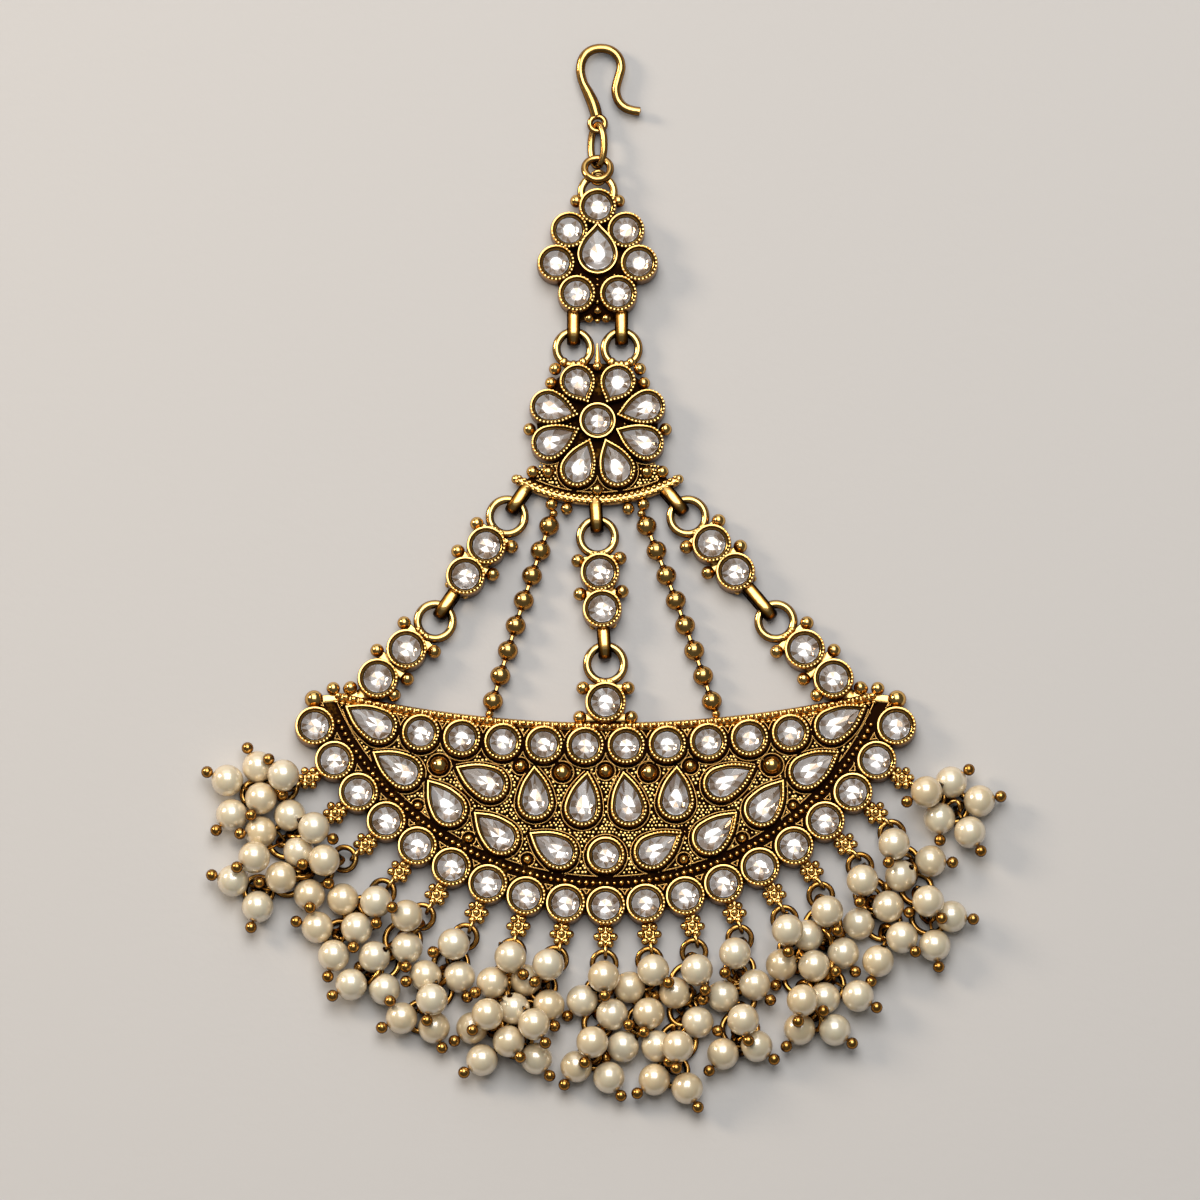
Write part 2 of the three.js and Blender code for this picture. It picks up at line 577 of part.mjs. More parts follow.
// A flower cap soldered under an outer collet, and the upright eye that its jump ring hangs in.
function capAt(turn) {
  const { flower: radius, flowerFoot: foot, flowerTop: top } = CAP;
  const flower = turnedProfile([[0, foot], [radius, foot], [radius, top], [0, top]], 6);
  const eye = new THREE.TorusGeometry(CAP.eyeMid, CAP.eyeWire / 2, 3, 6)
    .rotateZ(Math.PI / 6).rotateY(Math.PI / 2);
  return [
    solidOf(flower.rotateZ(rad(turn)).translate(...arcPoint(turn, CAP.radius), 0)),
    solidOf(eye.rotateZ(rad(turn)).translate(...arcPoint(turn, CAP.eyeRadius), LINK_HEIGHT)),
  ];
}

function lowerConnector(side) {
  const place = (along, across) => {
    const [s, c] = [side * Math.sin(rad(LOWER_RING.turn)), Math.cos(rad(LOWER_RING.turn))];
    return [side * LOWER_RING.x + s * along + c * across, LOWER_RING.y - c * along + s * across];
  };
  return [
    ringAt(...place(0, 0), LOWER_RING.mid, LOWER_RING.wire),
    ...[1, 2].map((k) => colletAt(...place(k * LOWER_RING.pitch, 0), 0)),
    spineBetween(place(LOWER_RING.mid, 0), place(LOWER_RING.end, 0)),
    ...LOWER_PAIRS.flatMap(([along, across]) => beadPair(place, along, across)),
    ...LOWER_BEADS.map(([along, across]) => (
      ballAt(...place(along, side * across), PAIR.beadZ, CONNECTOR.bead))),
    ballAt(side * HORN_BALL.x, HORN_BALL.y, BALL_HEIGHT, HORN_BALL.radius),
  ];
}

function centerConnector() {
  return [
    ringAt(0, CENTER_RING.y, CENTER_RING.mid, CENTER_RING.wire),
    colletAt(0, CENTER_RING.y - CENTER_RING.pitch, 0),
    spineBetween([0, CENTER_RING.y - CENTER_RING.mid], [0, TOP_EDGE.middleY]),
    ...CENTER_PAIRS.flatMap(([down, out]) => (
      beadPair((along, across) => [across, CENTER_RING.y - along], down, out))),
  ];
}

function crescentMesh() {
  const pears = mirrored((side) => FIELD_PEARS.map(({ tipX, tipY, bellyX, bellyY }) => (
    pearCollet([side * tipX, tipY], [side * bellyX, bellyY], PEAR.belly))));
  const beads = mirrored((side) => FIELD_BEADS.map(({ x, y, radius }) => (
    ballAt(side * x, y, PLATE_HEIGHT, radius))));
  const solids = [
    crescentPlate(),
    archedBar(0, TOP_EDGE.middleY, TOP_EDGE.radius, TOP_EDGE.halfWidth, TOP_EDGE.thick, TOP_EDGE.height, 5),
    ...outerTurns.map((turn) => colletAt(...arcPoint(turn, ARC.radius), EDGE_FOOT)),
    ...topRowCenters().map(([x, y]) => colletAt(x, y)),
    colletAt(0, MIDDLE_COLLET_Y),
    ...pears, ...beads, ballAt(0, MIDDLE_BEAD.y, PLATE_HEIGHT, MIDDLE_BEAD.radius),
    ...capTurns.flatMap(capAt),
    ...lowerConnector(-1), ...lowerConnector(1), ...centerConnector(),
  ];
  return meshOf('crescent', gold, joined(solids));
}

// ---- Pearls ----

const anchors = capTurns.map((turn) => arcPoint(turn, CAP.eyeRadius));

// A point of a cluster's thread, which comes down from its jump ring and then lies straight.
function threadPoint(cluster, along) {
  const lean = rad(CLUSTERS[cluster].lean);
  const fall = THREE.MathUtils.clamp((along - THREAD.start) / (THREAD.landing - THREAD.start), 0, 1);
  return [
    anchors[cluster][0] + Math.sin(lean) * along,
    anchors[cluster][1] - Math.cos(lean) * along,
    LINK_HEIGHT + (THREAD.z - LINK_HEIGHT) * fall,
  ];
}

const threadEnd = (cluster) => CLUSTERS[cluster].reach - THREAD.short;

// Every pearl's starting place, its cluster, and the point of the thread that its pin hooks on.
function pearlStarts() {
  return CLUSTERS.flatMap(({ lean, reach, pearls }, cluster) => {
    const side = cluster % 2 ? 1 : -1;
    const [s, c] = [Math.sin(rad(lean)), Math.cos(rad(lean))];
    return HANGING[pearls].map(({ along, across, z }) => {
      const [x, y] = threadPoint(cluster, along * reach);
      const hooked = Math.min(Math.max(along * reach - 1.6, THREAD.start), threadEnd(cluster));
      return {
        cluster, hook: threadPoint(cluster, hooked),
        start: [x + c * across * side, y + s * across * side, z],
      };
    });
  });
}

// Small balls that stand for everything that the pearls lie on or against.
function stops() {
  const list = [];
  const add = (x, y, z, radius) => list.push({ at: [x, y, z], radius });
  capTurns.forEach((turn, cluster) => {
    add(...arcPoint(turn, CAP.radius), 0.8, CAP.flower);
    add(...arcPoint(turn, CAP.eyeRadius), LINK_HEIGHT, CAP.eyeMid + CAP.eyeWire / 2);
    for (let k = 0; k < 6; k += 1) {
      const [x, y] = threadPoint(cluster, JUMP_RING.mid);
      const angle = (k * Math.PI) / 3;
      add(x + JUMP_RING.mid * Math.cos(angle), y + JUMP_RING.mid * Math.sin(angle), LINK_HEIGHT,
        JUMP_RING.wire / 2);
    }
    for (let along = THREAD.start; along < threadEnd(cluster) + 0.5; along += 1) {
      add(...threadPoint(cluster, along), THREAD.radius);
    }
  });
  return list;
}

const minus = (a, b) => [a[0] - b[0], a[1] - b[1], a[2] - b[2]];
const dot = (a, b) => a[0] * b[0] + a[1] * b[1] + a[2] * b[2];

// How far a pearl at p has to move to stand clear of a ball at q, as a vector.
function push(p, q, clearance, share) {
  const away = minus(p, q);
  const distance = Math.sqrt(dot(away, away)) || 1e-9;
  const depth = Math.max(clearance - distance, 0);
  return away.map((value) => (share * depth * value) / distance);
}

// The pearls pushed apart, off the pins and off everything that they lie on, a little in each round.
function settledPearls() {
  const rows = pearlStarts();
  const fixed = stops();
  let places = rows.map((row) => row.start);
  for (let round = 0; round < SETTLING.rounds; round += 1) {
    places = places.map((p, i) => {
      const move = [0, 0, 0];
      const take = (v) => v.forEach((value, k) => { move[k] += value; });
      places.forEach((q, j) => {
        if (i === j) return;
        take(push(p, q, 2 * PEARL.radius + PEARL.gap, SETTLING.share));
        const pin = minus(q, rows[j].hook);
        const t = THREE.MathUtils.clamp(dot(minus(p, rows[j].hook), pin) / dot(pin, pin), 0, 1);
        take(push(p, rows[j].hook.map((h, k) => h + pin[k] * t), PEARL.radius + PEARL.pin + PEARL.gap,
          SETTLING.share));
      });
      fixed.forEach(({ at, radius }) => (
        take(push(p, at, PEARL.radius + radius + PEARL.gap, SETTLING.share))));
      const late = round > 0.75 * SETTLING.rounds;
      const pull = late ? 0 : SETTLING.pull;
      const next = p.map((value, k) => value + move[k] + pull * (rows[i].start[k] - value));
      const out = Math.hypot(next[0], next[1]);
      const grow = Math.max(PEARL.innerLimit / out, 1);
      return [next[0] * grow, next[1] * grow, Math.max(next[2], PEARL.radius)];
    });
  }
  return rows.map((row, i) => ({ ...row, at: places[i] }));
}

function clusterMesh(cluster, pearls) {
  const [ringX, ringY] = threadPoint(cluster, JUMP_RING.mid);
  const stations = [THREAD.start - 0.2, THREAD.landing, threadEnd(cluster)];
  const thread = stations.map((along) => threadPoint(cluster, along));
  const solids = [
    ringAt(ringX, ringY, JUMP_RING.mid, JUMP_RING.wire, 7, 3),
    rodBetween(thread[0], thread[1], THREAD.radius, 3),
    rodBetween(thread[1], thread[2], THREAD.radius, 3),
    ...pearls.flatMap(({ at, hook }) => [
      solidOf(new THREE.IcosahedronGeometry(PEARL.facetRadius).translate(...at)),
      rodBetween(hook, at, PEARL.pin, 3),
    ]),
  ];
  const number = String(cluster + 1).padStart(2, '0');
  return meshOf(`pearl_cluster_${number}`, pearl, joined(solids));
}

// ---- The whole piece ----

const settled = settledPearls();
const lowerAnchors = { '-1': LOWER_RING, 0: CENTER_RING, 1: LOWER_RING };

function connectorLayout() {
  return [['connector_left', -1], ['connector_center', 0], ['connector_right', 1]].map(([name, side]) => {
    const lower = side === 0 ? [0, CENTER_RING.y] : [side * LOWER_RING.x, LOWER_RING.y];
    const upper = side === 0 ? rosetteAt(0, ROSETTE_EYES.centerRing)
      : rosetteAt(side * ROSETTE_EYES.ringX, ROSETTE_EYES.ringY);
    const [dx, dy] = [lower[0] - upper[0], lower[1] - upper[1]];
    return {
      name, side, upper, turn: THREE.MathUtils.radToDeg(Math.atan2(dx, -dy)),
      span: Math.hypot(dx, dy) - lowerAnchors[side].mid, wire: lowerAnchors[side].wire,
    };
  });
}

const connectors = connectorLayout();
const turns = Object.fromEntries(connectors.map(({ side, turn }) => [side, turn]));
const jhoomar = new THREE.Group();
jhoomar.add(
  hookMesh(), hookLinkMesh(), topRingMesh(), ...crownParts(), ...rosetteParts(turns),
  ...connectors.flatMap(({ name, upper, turn, span, wire }) => (
    connectorParts(name, upper, turn, span, wire))),
  chainMesh('ball_chain_left', -1), chainMesh('ball_chain_right', 1), crescentMesh(),
  ...CLUSTERS.map((_, k) => clusterMesh(k, settled.filter((row) => row.cluster === k))),
);

const extent = new THREE.Box3().setFromObject(jhoomar);
const middle = extent.getCenter(new THREE.Vector3());
jhoomar.position.set(-middle.x, -middle.y, -extent.min.z);
export default jhoomar;
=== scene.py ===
import logging
import math
from collections.abc import Callable
from dataclasses import dataclass, field
from enum import Enum

import bpy
import numpy as np
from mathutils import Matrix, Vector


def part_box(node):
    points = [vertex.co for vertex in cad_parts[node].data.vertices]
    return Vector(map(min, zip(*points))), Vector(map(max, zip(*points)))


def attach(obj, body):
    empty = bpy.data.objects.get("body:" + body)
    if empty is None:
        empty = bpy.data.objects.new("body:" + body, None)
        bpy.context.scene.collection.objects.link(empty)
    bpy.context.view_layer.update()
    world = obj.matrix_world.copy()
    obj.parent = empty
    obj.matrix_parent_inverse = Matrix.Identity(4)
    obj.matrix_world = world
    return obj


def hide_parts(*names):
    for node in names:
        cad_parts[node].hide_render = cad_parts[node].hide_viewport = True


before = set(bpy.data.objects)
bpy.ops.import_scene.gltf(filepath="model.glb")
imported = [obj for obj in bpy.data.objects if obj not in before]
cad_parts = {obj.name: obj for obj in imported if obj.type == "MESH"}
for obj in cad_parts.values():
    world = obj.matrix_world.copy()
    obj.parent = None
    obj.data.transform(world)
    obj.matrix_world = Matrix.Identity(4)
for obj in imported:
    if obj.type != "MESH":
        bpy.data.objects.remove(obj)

# A jhoomar: a side ornament for the hair, of antiqued gold, foil-backed crystals and pearls.
# Lengths are millimetres about the centre of the crescent's outer arc, with X across the piece, Y
# towards its hook and Z out of its front. A finished piece is moved onto the frame and into metres.

log = logging.getLogger("jhoomar")
Array = np.ndarray
Colour = tuple[float, float, float]
Inside = Callable[[Array], Array]
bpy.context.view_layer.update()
CROWN = np.array([-1.0, 42.3])  # the middle of the top casting
ROSETTE = np.array([-1.0, 21.1])  # the middle of the casting below it
LINK = 1.25  # the middle of the flat rings over the back
PLATE = 1.3  # the ground between the settings, over the back


def to_frame() -> Array:
    """The move in millimetres from the layout onto the frame, read off one round stone."""
    low, high = (np.array(corner) * 1000 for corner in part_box("rosette_stone_round"))
    return np.append(((low + high) / 2)[:2] - ROSETTE, 0.0)


class Side(Enum):
    """The two halves of the piece."""

    LEFT = -1
    RIGHT = 1


class Slot(Enum):
    """The record's material slots."""

    GOLD = "antique_gold"
    CRYSTAL = "crystal"
    PEARL = "pearl"


class Rim(Enum):
    """How a setting's rim is finished: the share of the bead height that stands proud all round."""

    PLAIN = 0.0
    WORN = 0.35
    BEADED = 0.7


# ---------------------------------------------------------------- shapes


@dataclass
class Shape:
    """Points with their polish, and faces of three to eight corners with a zone number for each."""

    points: Array
    polish: Array
    faces: list[Array]
    zones: list[Array] = field(default_factory=list)

    def __post_init__(self) -> None:
        """Fills in zone 0 where none is given."""
        self.zones = self.zones or [np.zeros(len(f), int) for f in self.faces]


def joined(shapes: list[Shape]) -> Shape:
    """Several shapes as one, each keeping its own faces.

    Args:
        shapes: the shapes to put together.

    Returns:
        One shape.
    """
    starts = np.cumsum([0] + [len(s.points) for s in shapes])
    return Shape(
        np.concatenate([s.points for s in shapes]),
        np.concatenate([s.polish for s in shapes]),
        [f + start for s, start in zip(shapes, starts) for f in s.faces],
        [z for s in shapes for z in s.zones],
    )


def outward(points: Array, faces: list[Array]) -> list[Array]:
    """Faces turned so that a closed form's volume is positive.

    The volume is the sum, over every face cut into triangles, of the box product of its corners.

    Args:
        points: the form's points.
        faces: its faces.

    Returns:
        The faces, reversed if they pointed inwards.
    """
    volume = 0.0
    for block in faces:
        for k in range(1, block.shape[1] - 1):
            a, b, c = points[block[:, 0]], points[block[:, k]], points[block[:, k + 1]]
            volume += float((a * np.cross(b, c)).sum())
    return [f[:, ::-1] for f in faces] if volume < 0 else faces


def skin(
    rings: Array, polish: Array, ends: Array | None = None, end_polish: tuple[float, float] = (0, 0)
) -> Shape:
    """A closed surface through a row of closed rings.

    Point (i, j) is ring i's point j, and each face joins two rings and two neighbours on them. With
    ends, the first and last ring close in fans on them; without, the last ring joins the first.

    Args:
        rings: an array of rings by points by three.
        polish: the polish of each ring point.
        ends: the two closing points, or None for a ring that runs back into itself.
        end_polish: the polish of the two closing points.

    Returns:
        The surface.
    """
    count, sides = rings.shape[:2]
    points, tone = rings.reshape(-1, 3), np.asarray(polish, float).reshape(-1)
    rows = np.arange(count if ends is None else count - 1)[:, None] * sides
    i, j = np.arange(sides)[None], (np.arange(sides)[None] + 1) % sides
    ahead = (rows + sides) % (count * sides)
    faces = [np.stack([rows + i, rows + j, ahead + j, ahead + i], -1).reshape(-1, 4)]
    if ends is not None:
        points, tone = np.concatenate([points, ends]), np.concatenate([tone, end_polish])
        n, i, j, last = count * sides, i[0], j[0], (count - 1) * sides
        faces.append(np.stack([np.full(sides, n), j, i], -1))
        faces.append(np.stack([np.full(sides, n + 1), last + i, last + j], -1))
    return Shape(points, tone, outward(points, faces))


def circle(radius: float, sides: int, middle: Array | tuple[float, float] = (0, 0)) -> Array:
    """Points evenly round a circle: its middle plus the radius times cosine and sine."""
    turn = np.arange(sides) * math.tau / sides
    return np.asarray(middle) + radius * np.stack([np.cos(turn), np.sin(turn)], -1)


def heading(degrees: float | Array) -> Array:
    """Flat directions, the sine and minus cosine of an angle from straight down to the right."""
    return np.stack([np.sin(np.radians(degrees)), -np.cos(np.radians(degrees))], -1)


def raised(flat: Array, height: float | Array) -> Array:
    """Flat points at a height."""
    return np.column_stack([flat, np.broadcast_to(height, len(flat))])


def unit(vectors: Array) -> Array:
    """Vectors scaled to length one."""
    return vectors / np.maximum(np.linalg.norm(vectors, axis=-1, keepdims=True), 1e-9)


def stacked(outlines: Array, centre: Array, heights: Array, tones: Array) -> Shape:
    """A closed form through flat outlines, each at its height, that closes on a centre.

    Args:
        outlines: the outlines, as levels by points by two.
        centre: where it closes, at the first and the last height.
        heights: each level's height.
        tones: each level's polish, or each point's.

    Returns:
        The form.
    """
    tall = np.repeat(heights[:, None], outlines.shape[1], 1)
    rings = np.concatenate([outlines, tall[..., None]], -1)
    polish = np.broadcast_to(tones if tones.ndim == 2 else tones[:, None], tall.shape)
    ends = raised(np.array([centre, centre]), heights[[0, -1]])
    return skin(rings, polish, ends, (polish[0, 0], polish[-1, 0]))


def lofted(outline: Array, centre: Array, levels: list[tuple[float, float, float]]) -> Shape:
    """A closed form whose every level is one flat outline drawn in towards a centre.

    A point is centre + share * (outline - centre), at the level's height.

    Args:
        outline: the outline, as points by two.
        centre: the point that it is drawn in to.
        levels: rows of share, height and polish.

    Returns:
        The form.
    """
    share, height, tone = np.asarray(levels, float).T
    return stacked(centre + share[:, None, None] * (outline - centre), centre, height, tone)


def swept(
    path: Array,
    section: Array,
    up: tuple[float, float, float] = (0, 0, 1),
    closed: bool = False,
    taper: Array | None = None,
    low: float = 0.1,
) -> Shape:
    """A section carried along a path.

    A point is path + section x * side + section y * top, where side is the path's direction crossed
    with up, and top stands square to both. The polish rises from low on the underside to 1 on top,
    by the smooth step from where a point begins to face up: patina underneath, with painted shade
    under the wire and a painted highlight along its top.

    Args:
        path: the middle line.
        section: the section's points, across and up.
        up: the direction that the section's top keeps to.
        closed: whether the path runs back into itself.
        taper: how much the section is scaled at each point of the path.
        low: the polish underneath, where the shade is painted.

    Returns:
        The form, closed at both ends or all round.
    """
    if closed:
        ahead = unit(np.roll(path, -1, 0) - np.roll(path, 1, 0))
    else:
        ahead = unit(np.gradient(path, axis=0))
    side = unit(np.cross(ahead, np.asarray(up, float)))
    top = np.cross(side, ahead)
    scale = np.ones(len(path)) if taper is None else taper
    offset = section[None, :, :1] * side[:, None] + section[None, :, 1:] * top[:, None]
    rings = path[:, None] + offset * scale[:, None, None]
    # Painted shade and highlight: the tone falls as the surface turns from facing up, with the
    # patina.
    lift = np.clip((unit(offset)[..., 2] - 0.3) / 0.55, 0, 1)
    polish = low + (1 - low) * lift**2 * (3 - 2 * lift)
    if closed:
        return skin(rings, polish)
    reach = np.abs(section).max() * 0.3
    ends = [path[0] - ahead[0] * reach * scale[0], path[-1] + ahead[-1] * reach * scale[-1]]
    return skin(rings, polish, np.array(ends), (0.6, 0.6))


def wire_section(radius: float, sides: int = 10, square: float = 2.0) -> Array:
    """A wire's section: cosine and sine, each raised to 2 / square; 2 is round and 4 squarish.

    Args:
        radius: half the wire's thickness.
        sides: points round it.
        square: how squarish it is.

    Returns:
        The section's points.
    """
    turn = (np.arange(sides) + 0.5) * math.tau / sides
    both = np.stack([np.cos(turn), np.sin(turn)], -1)
    return radius * np.sign(both) * np.abs(both) ** (2 / square)


def spaced(
    line: Array, count: int = 0, closed: bool = False, pitch: float = 0.0, start: float = 0.0
) -> Array:
    """A line cut again into evenly spaced points.

    Args:
        line: the line's points.
        count: how many points come back, if no pitch is given.
        closed: whether the line runs back into itself.
        pitch: the distance between the points.
        start: where the first point of a closed line stands, as a share of a step.

    Returns:
        The new points.
    """
    if closed:
        line = np.concatenate([line, line[:1]])
    run = np.concatenate([[0], np.cumsum(np.linalg.norm(np.diff(line, axis=0), axis=1))])
    count = count or int(run[-1] / pitch)
    at = (np.arange(count) + start) / (count if closed else count - 1) * run[-1]
    return np.stack([np.interp(at, run, line[:, k]) for k in range(line.shape[1])], -1)


def smooth_path(corners: Array, steps: int, closed: bool = False) -> Array:
    """A smooth path through points, by the uniform Catmull-Rom cubic, evenly spaced on its length.

    Args:
        corners: the points to pass through.
        steps: how many points come back.
        closed: whether the path runs back into itself.

    Returns:
        The path's points.
    """
    p = corners
    before, after = (p[-1:], p[:2]) if closed else (2 * p[:1] - p[1:2], 2 * p[-1:] - p[-2:-1])
    padded = np.concatenate([before, p, after])
    a, b, c, d = padded[:-3, None], padded[1:-2, None], padded[2:-1, None], padded[3:, None]
    t = (np.arange(24) / 24)[None, :, None]
    bend, twist = 2 * a - 5 * b + 4 * c - d, 3 * b - a - 3 * c + d
    curve = (0.5 * (2 * b + (c - a) * t + bend * t**2 + twist * t**3)).reshape(-1, 3)
    return spaced(curve if closed else np.concatenate([curve, p[-1:]]), steps, closed)


def cubic(corners: list[Array], steps: int) -> Array:
    """Points on the cubic with four corners.

    The corners are weighted by 1, 3, 3 and 1 times falling powers of 1 - t and rising powers of t.

    Args:
        corners: its start, the two points that it leans to, and its end.
        steps: how many points come back.

    Returns:
        The points.
    """
    t = np.linspace(0, 1, steps)[:, None]
    power = np.arange(4)
    return (np.array([1, 3, 3, 1]) * (1 - t) ** power[::-1] * t**power) @ np.array(corners)


def ball(sides: int, rows: int, low: float = 0.05) -> Shape:
    """A ball of radius 1 with its poles up and down.

    A point is the sine of its row's angle times a circle, at the cosine of that angle. The polish
    follows the height, so that a ball is dark round its foot and bright on top: patina round the
    foot, with painted shade there and a painted highlight on top.

    Args:
        sides: points round each row.
        rows: rows between the poles.
        low: the polish at the foot, where the shade is painted.

    Returns:
        The ball.
    """
    angle = np.pi * np.arange(rows, 0, -1) / (rows + 1)
    height = np.cos(angle)
    outlines = np.sin(angle)[:, None, None] * circle(1, sides)
    rings = np.concatenate([outlines, np.repeat(height[:, None], sides, 1)[..., None]], -1)
    # Painted shade and highlight: the tone rises with height, with the patina round the foot.
    tone = np.repeat(low + (1 - low) * np.clip(0.1 + 1.3 * height, 0, 1)[:, None], sides, 1)
    return skin(rings, tone, np.array([[0, 0, -1.0], [0, 0, 1.0]]), (low, 1))


def stamped(form: Shape, places: Array, bases: Array | float) -> Shape:
    """One form repeated. A point is place + basis * form point, for every place at once.

    Args:
        form: the form that is repeated.
        places: where it goes.
        bases: three by three matrices, or one size for each place or for all.

    Returns:
        All the copies.
    """
    count, bases = len(places), np.asarray(bases, float)
    if bases.ndim < 3:
        bases = np.broadcast_to(bases, count)[:, None, None] * np.eye(3)
    points = places[:, None] + np.einsum("nij,vj->nvi", bases, form.points)
    starts = np.arange(count)[:, None, None] * len(form.points)
    faces = [(f[None] + starts).reshape(-1, f.shape[1]) for f in form.faces]
    zones = [np.tile(z, count) for z in form.zones]
    return Shape(points.reshape(-1, 3), np.tile(form.polish, count), faces, zones)


def along(directions: Array, lengths: tuple[float, float, float]) -> Array:
    """Bases that turn a form's X to flat directions and scale its three axes.

    Args:
        directions: the flat directions.
        lengths: the scales along the direction, across it and up.

    Returns:
        One matrix for each direction.
    """
    x, y = unit(directions).T
    none = np.zeros(len(x))
    rows = [(x, -y, none), (y, x, none), (none, none, none + 1)]
    return np.stack([np.stack(row, -1) for row in rows], 1) * lengths


def poled(directions: Array, lengths: Array | float) -> Array:
    """Bases that turn a form's Z to the given directions, and scale it evenly.

    Args:
        directions: the directions.
        lengths: one scale for each, or for all.

    Returns:
        One matrix for each direction.
    """
    z = unit(directions)
    x = unit(np.cross(np.where(np.abs(z[:, 2:]) > 0.9, [[1.0, 0, 0]], [[0, 0, 1.0]]), z))
    return np.stack([x, np.cross(z, x), z], -1) * np.broadcast_to(lengths, len(z))[:, None, None]


GRAIN = ball(6, 3)
BEAD_FINE = ball(10, 5)
BEAD = ball(18, 9)


def mirrored(rows: list[tuple[float, ...]]) -> list[tuple[float, ...]]:
    """Rows that start with a place across, each followed by its mirror image unless it is 0."""
    return [(s * x, *rest) for x, *rest in rows for s in ((1, -1) if x else (1,))]


def beads(rows: list[tuple[float, ...]], middle: Array | tuple[float, float] = (0, 0)) -> Shape:
    """Round beads about a point, each given by its place and radius."""
    table = np.array(rows, float) + [*middle, 0, 0]
    return stamped(BEAD, table[:, :3], table[:, 3])


def bead_row(
    row: Array, height: float, size: tuple[float, float, float], form: Shape = BEAD_FINE
) -> Shape:
    """Long beads that follow a row of points.

    Args:
        row: the points.
        height: their height.
        size: half a bead's length, width and height.
        form: the bead.

    Returns:
        The beads.
    """
    return stamped(form, raised(row, height), along(np.gradient(row, axis=0), size))


def rail(
    line: Array, height: float, size: tuple[float, float], sides: int = 12, square: float = 3.4
) -> Shape:
    """A soft-cornered bar laid along a flat line.

    Args:
        line: its middle line.
        height: the height of its middle.
        size: half its width and half its height.
        sides: points round its section.
        square: how squarish the section is.

    Returns:
        The bar.
    """
    section = wire_section(1, sides, square) * size
    return swept(raised(line, height), section, low=0.05)


def bar(start: Array, end: Array, width: float, half_height: float = 0.62) -> Shape:
    """A straight bar between two points, near the back of a casting."""
    line = start + np.linspace(0, 1, 6)[:, None] * (np.asarray(end) - start)
    return rail(line, 0.85, (width / 2, half_height), 10)


def ring(
    at: Array | tuple[float, float], mid: float, wire: float, z: float = LINK, tilt: float = 0.0,
    axis: float = 0.0, square: float = 2.0, sides: int = 44,
) -> Shape:
    """A ring of wire, tilted about a flat axis through its middle.

    Args:
        at: its middle, across and up the piece.
        mid: the radius of the wire's middle line.
        wire: the wire's thickness.
        z: its middle's height.
        tilt: how far it is turned out of flat, in degrees.
        axis: the tilt axis's direction in degrees from X.
        square: how squarish the wire is.
        sides: steps round the ring.

    Returns:
        The ring.
    """
    a, t = math.radians(axis), math.radians(tilt)
    u = np.array([math.cos(a), math.sin(a), 0.0])
    v = np.array([-math.sin(a) * math.cos(t), math.cos(a) * math.cos(t), math.sin(t)])
    path = np.array([*at, z]) + circle(mid, sides) @ np.array([u, v])
    return swept(path, wire_section(wire / 2, 10, square), tuple(np.cross(u, v)), closed=True)


# ---------------------------------------------------------------- settings


def pear_outline(tip: Array, belly: Array, radius: float, sides: int = 26) -> Array:
    """A pear's outline: a round belly whose two sides swell a little on their way to the tip.

    Each side is a cubic that leaves the circle along itself, a little past where a straight line
    would, and comes in to the tip at a slant. Its half is mirrored about the line to the tip.

    Args:
        tip: the pointed end.
        belly: the middle of the round end.
        radius: the round end's radius.
        sides: points on each half.

    Returns:
        The outline, once round, starting at the tip.
    """
    past, slant, leaning_out, leaning_in = 0.32, 0.66, 0.46, 0.36
    aim = tip - belly
    reach = float(np.hypot(*aim))
    leave = math.acos(radius / reach) + past
    start, end = radius * np.array([math.cos(leave), math.sin(leave)]), np.array([reach, 0.0])
    gap = float(np.hypot(*(end - start)))
    first = start + gap * leaning_out * np.array([math.sin(leave), -math.cos(leave)])
    second = end + gap * leaning_in * np.array([-math.cos(slant), math.sin(slant)])
    turn = np.linspace(math.pi, leave, 20)[:-1]
    belly_side = radius * np.stack([np.cos(turn), np.sin(turn)], -1)
    half = spaced(np.concatenate([belly_side, cubic([start, first, second, end], 16)]), sides)
    both = np.concatenate([half[::-1], (half * [1, -1])[1:-1]])
    return belly + both @ np.array([aim, [-aim[1], aim[0]]]) / reach


# A setting from its back up its wall, over its rim and down its bore: how far in from the wall,
# how high, and how polished.
SETTING_LEVELS = np.array([
    (0.12, 0.02, 0.05), (0.02, 0.10, 0.10), (-0.02, 0.5, 0.22), (-0.02, 1.4, 0.3),
    (0.0, 2.3, 0.36), (0.03, 2.62, 0.5), (0.07, 2.82, 0.85), (0.14, 2.92, 1.0),
    (0.29, 2.92, 0.95), (0.36, 2.84, 0.7), (0.40, 2.66, 0.05), (0.44, 2.57, 0.0),
    (0.49, 2.58, 0.3), (0.53, 2.65, 0.9), (0.59, 2.62, 1.0), (0.66, 2.50, 0.62),
    (0.72, 2.42, 0.15), (0.77, 2.34, 0.0), (0.79, 1.0, 0.0),
])
BORE = 0.77  # how far in from the wall the stone's girdle stands
BEADS_IN, BEADS_APART, BEADS_HIGH = 0.21, 0.47, 2.74  # the row of fine beads on a rim
GIRDLE, TABLE, BACK, POINT = 2.48, 2.68, 2.31, 2.3  # the heights of a stone's corners
BACK_DIP = 0.045  # how much lower every other corner of the back is


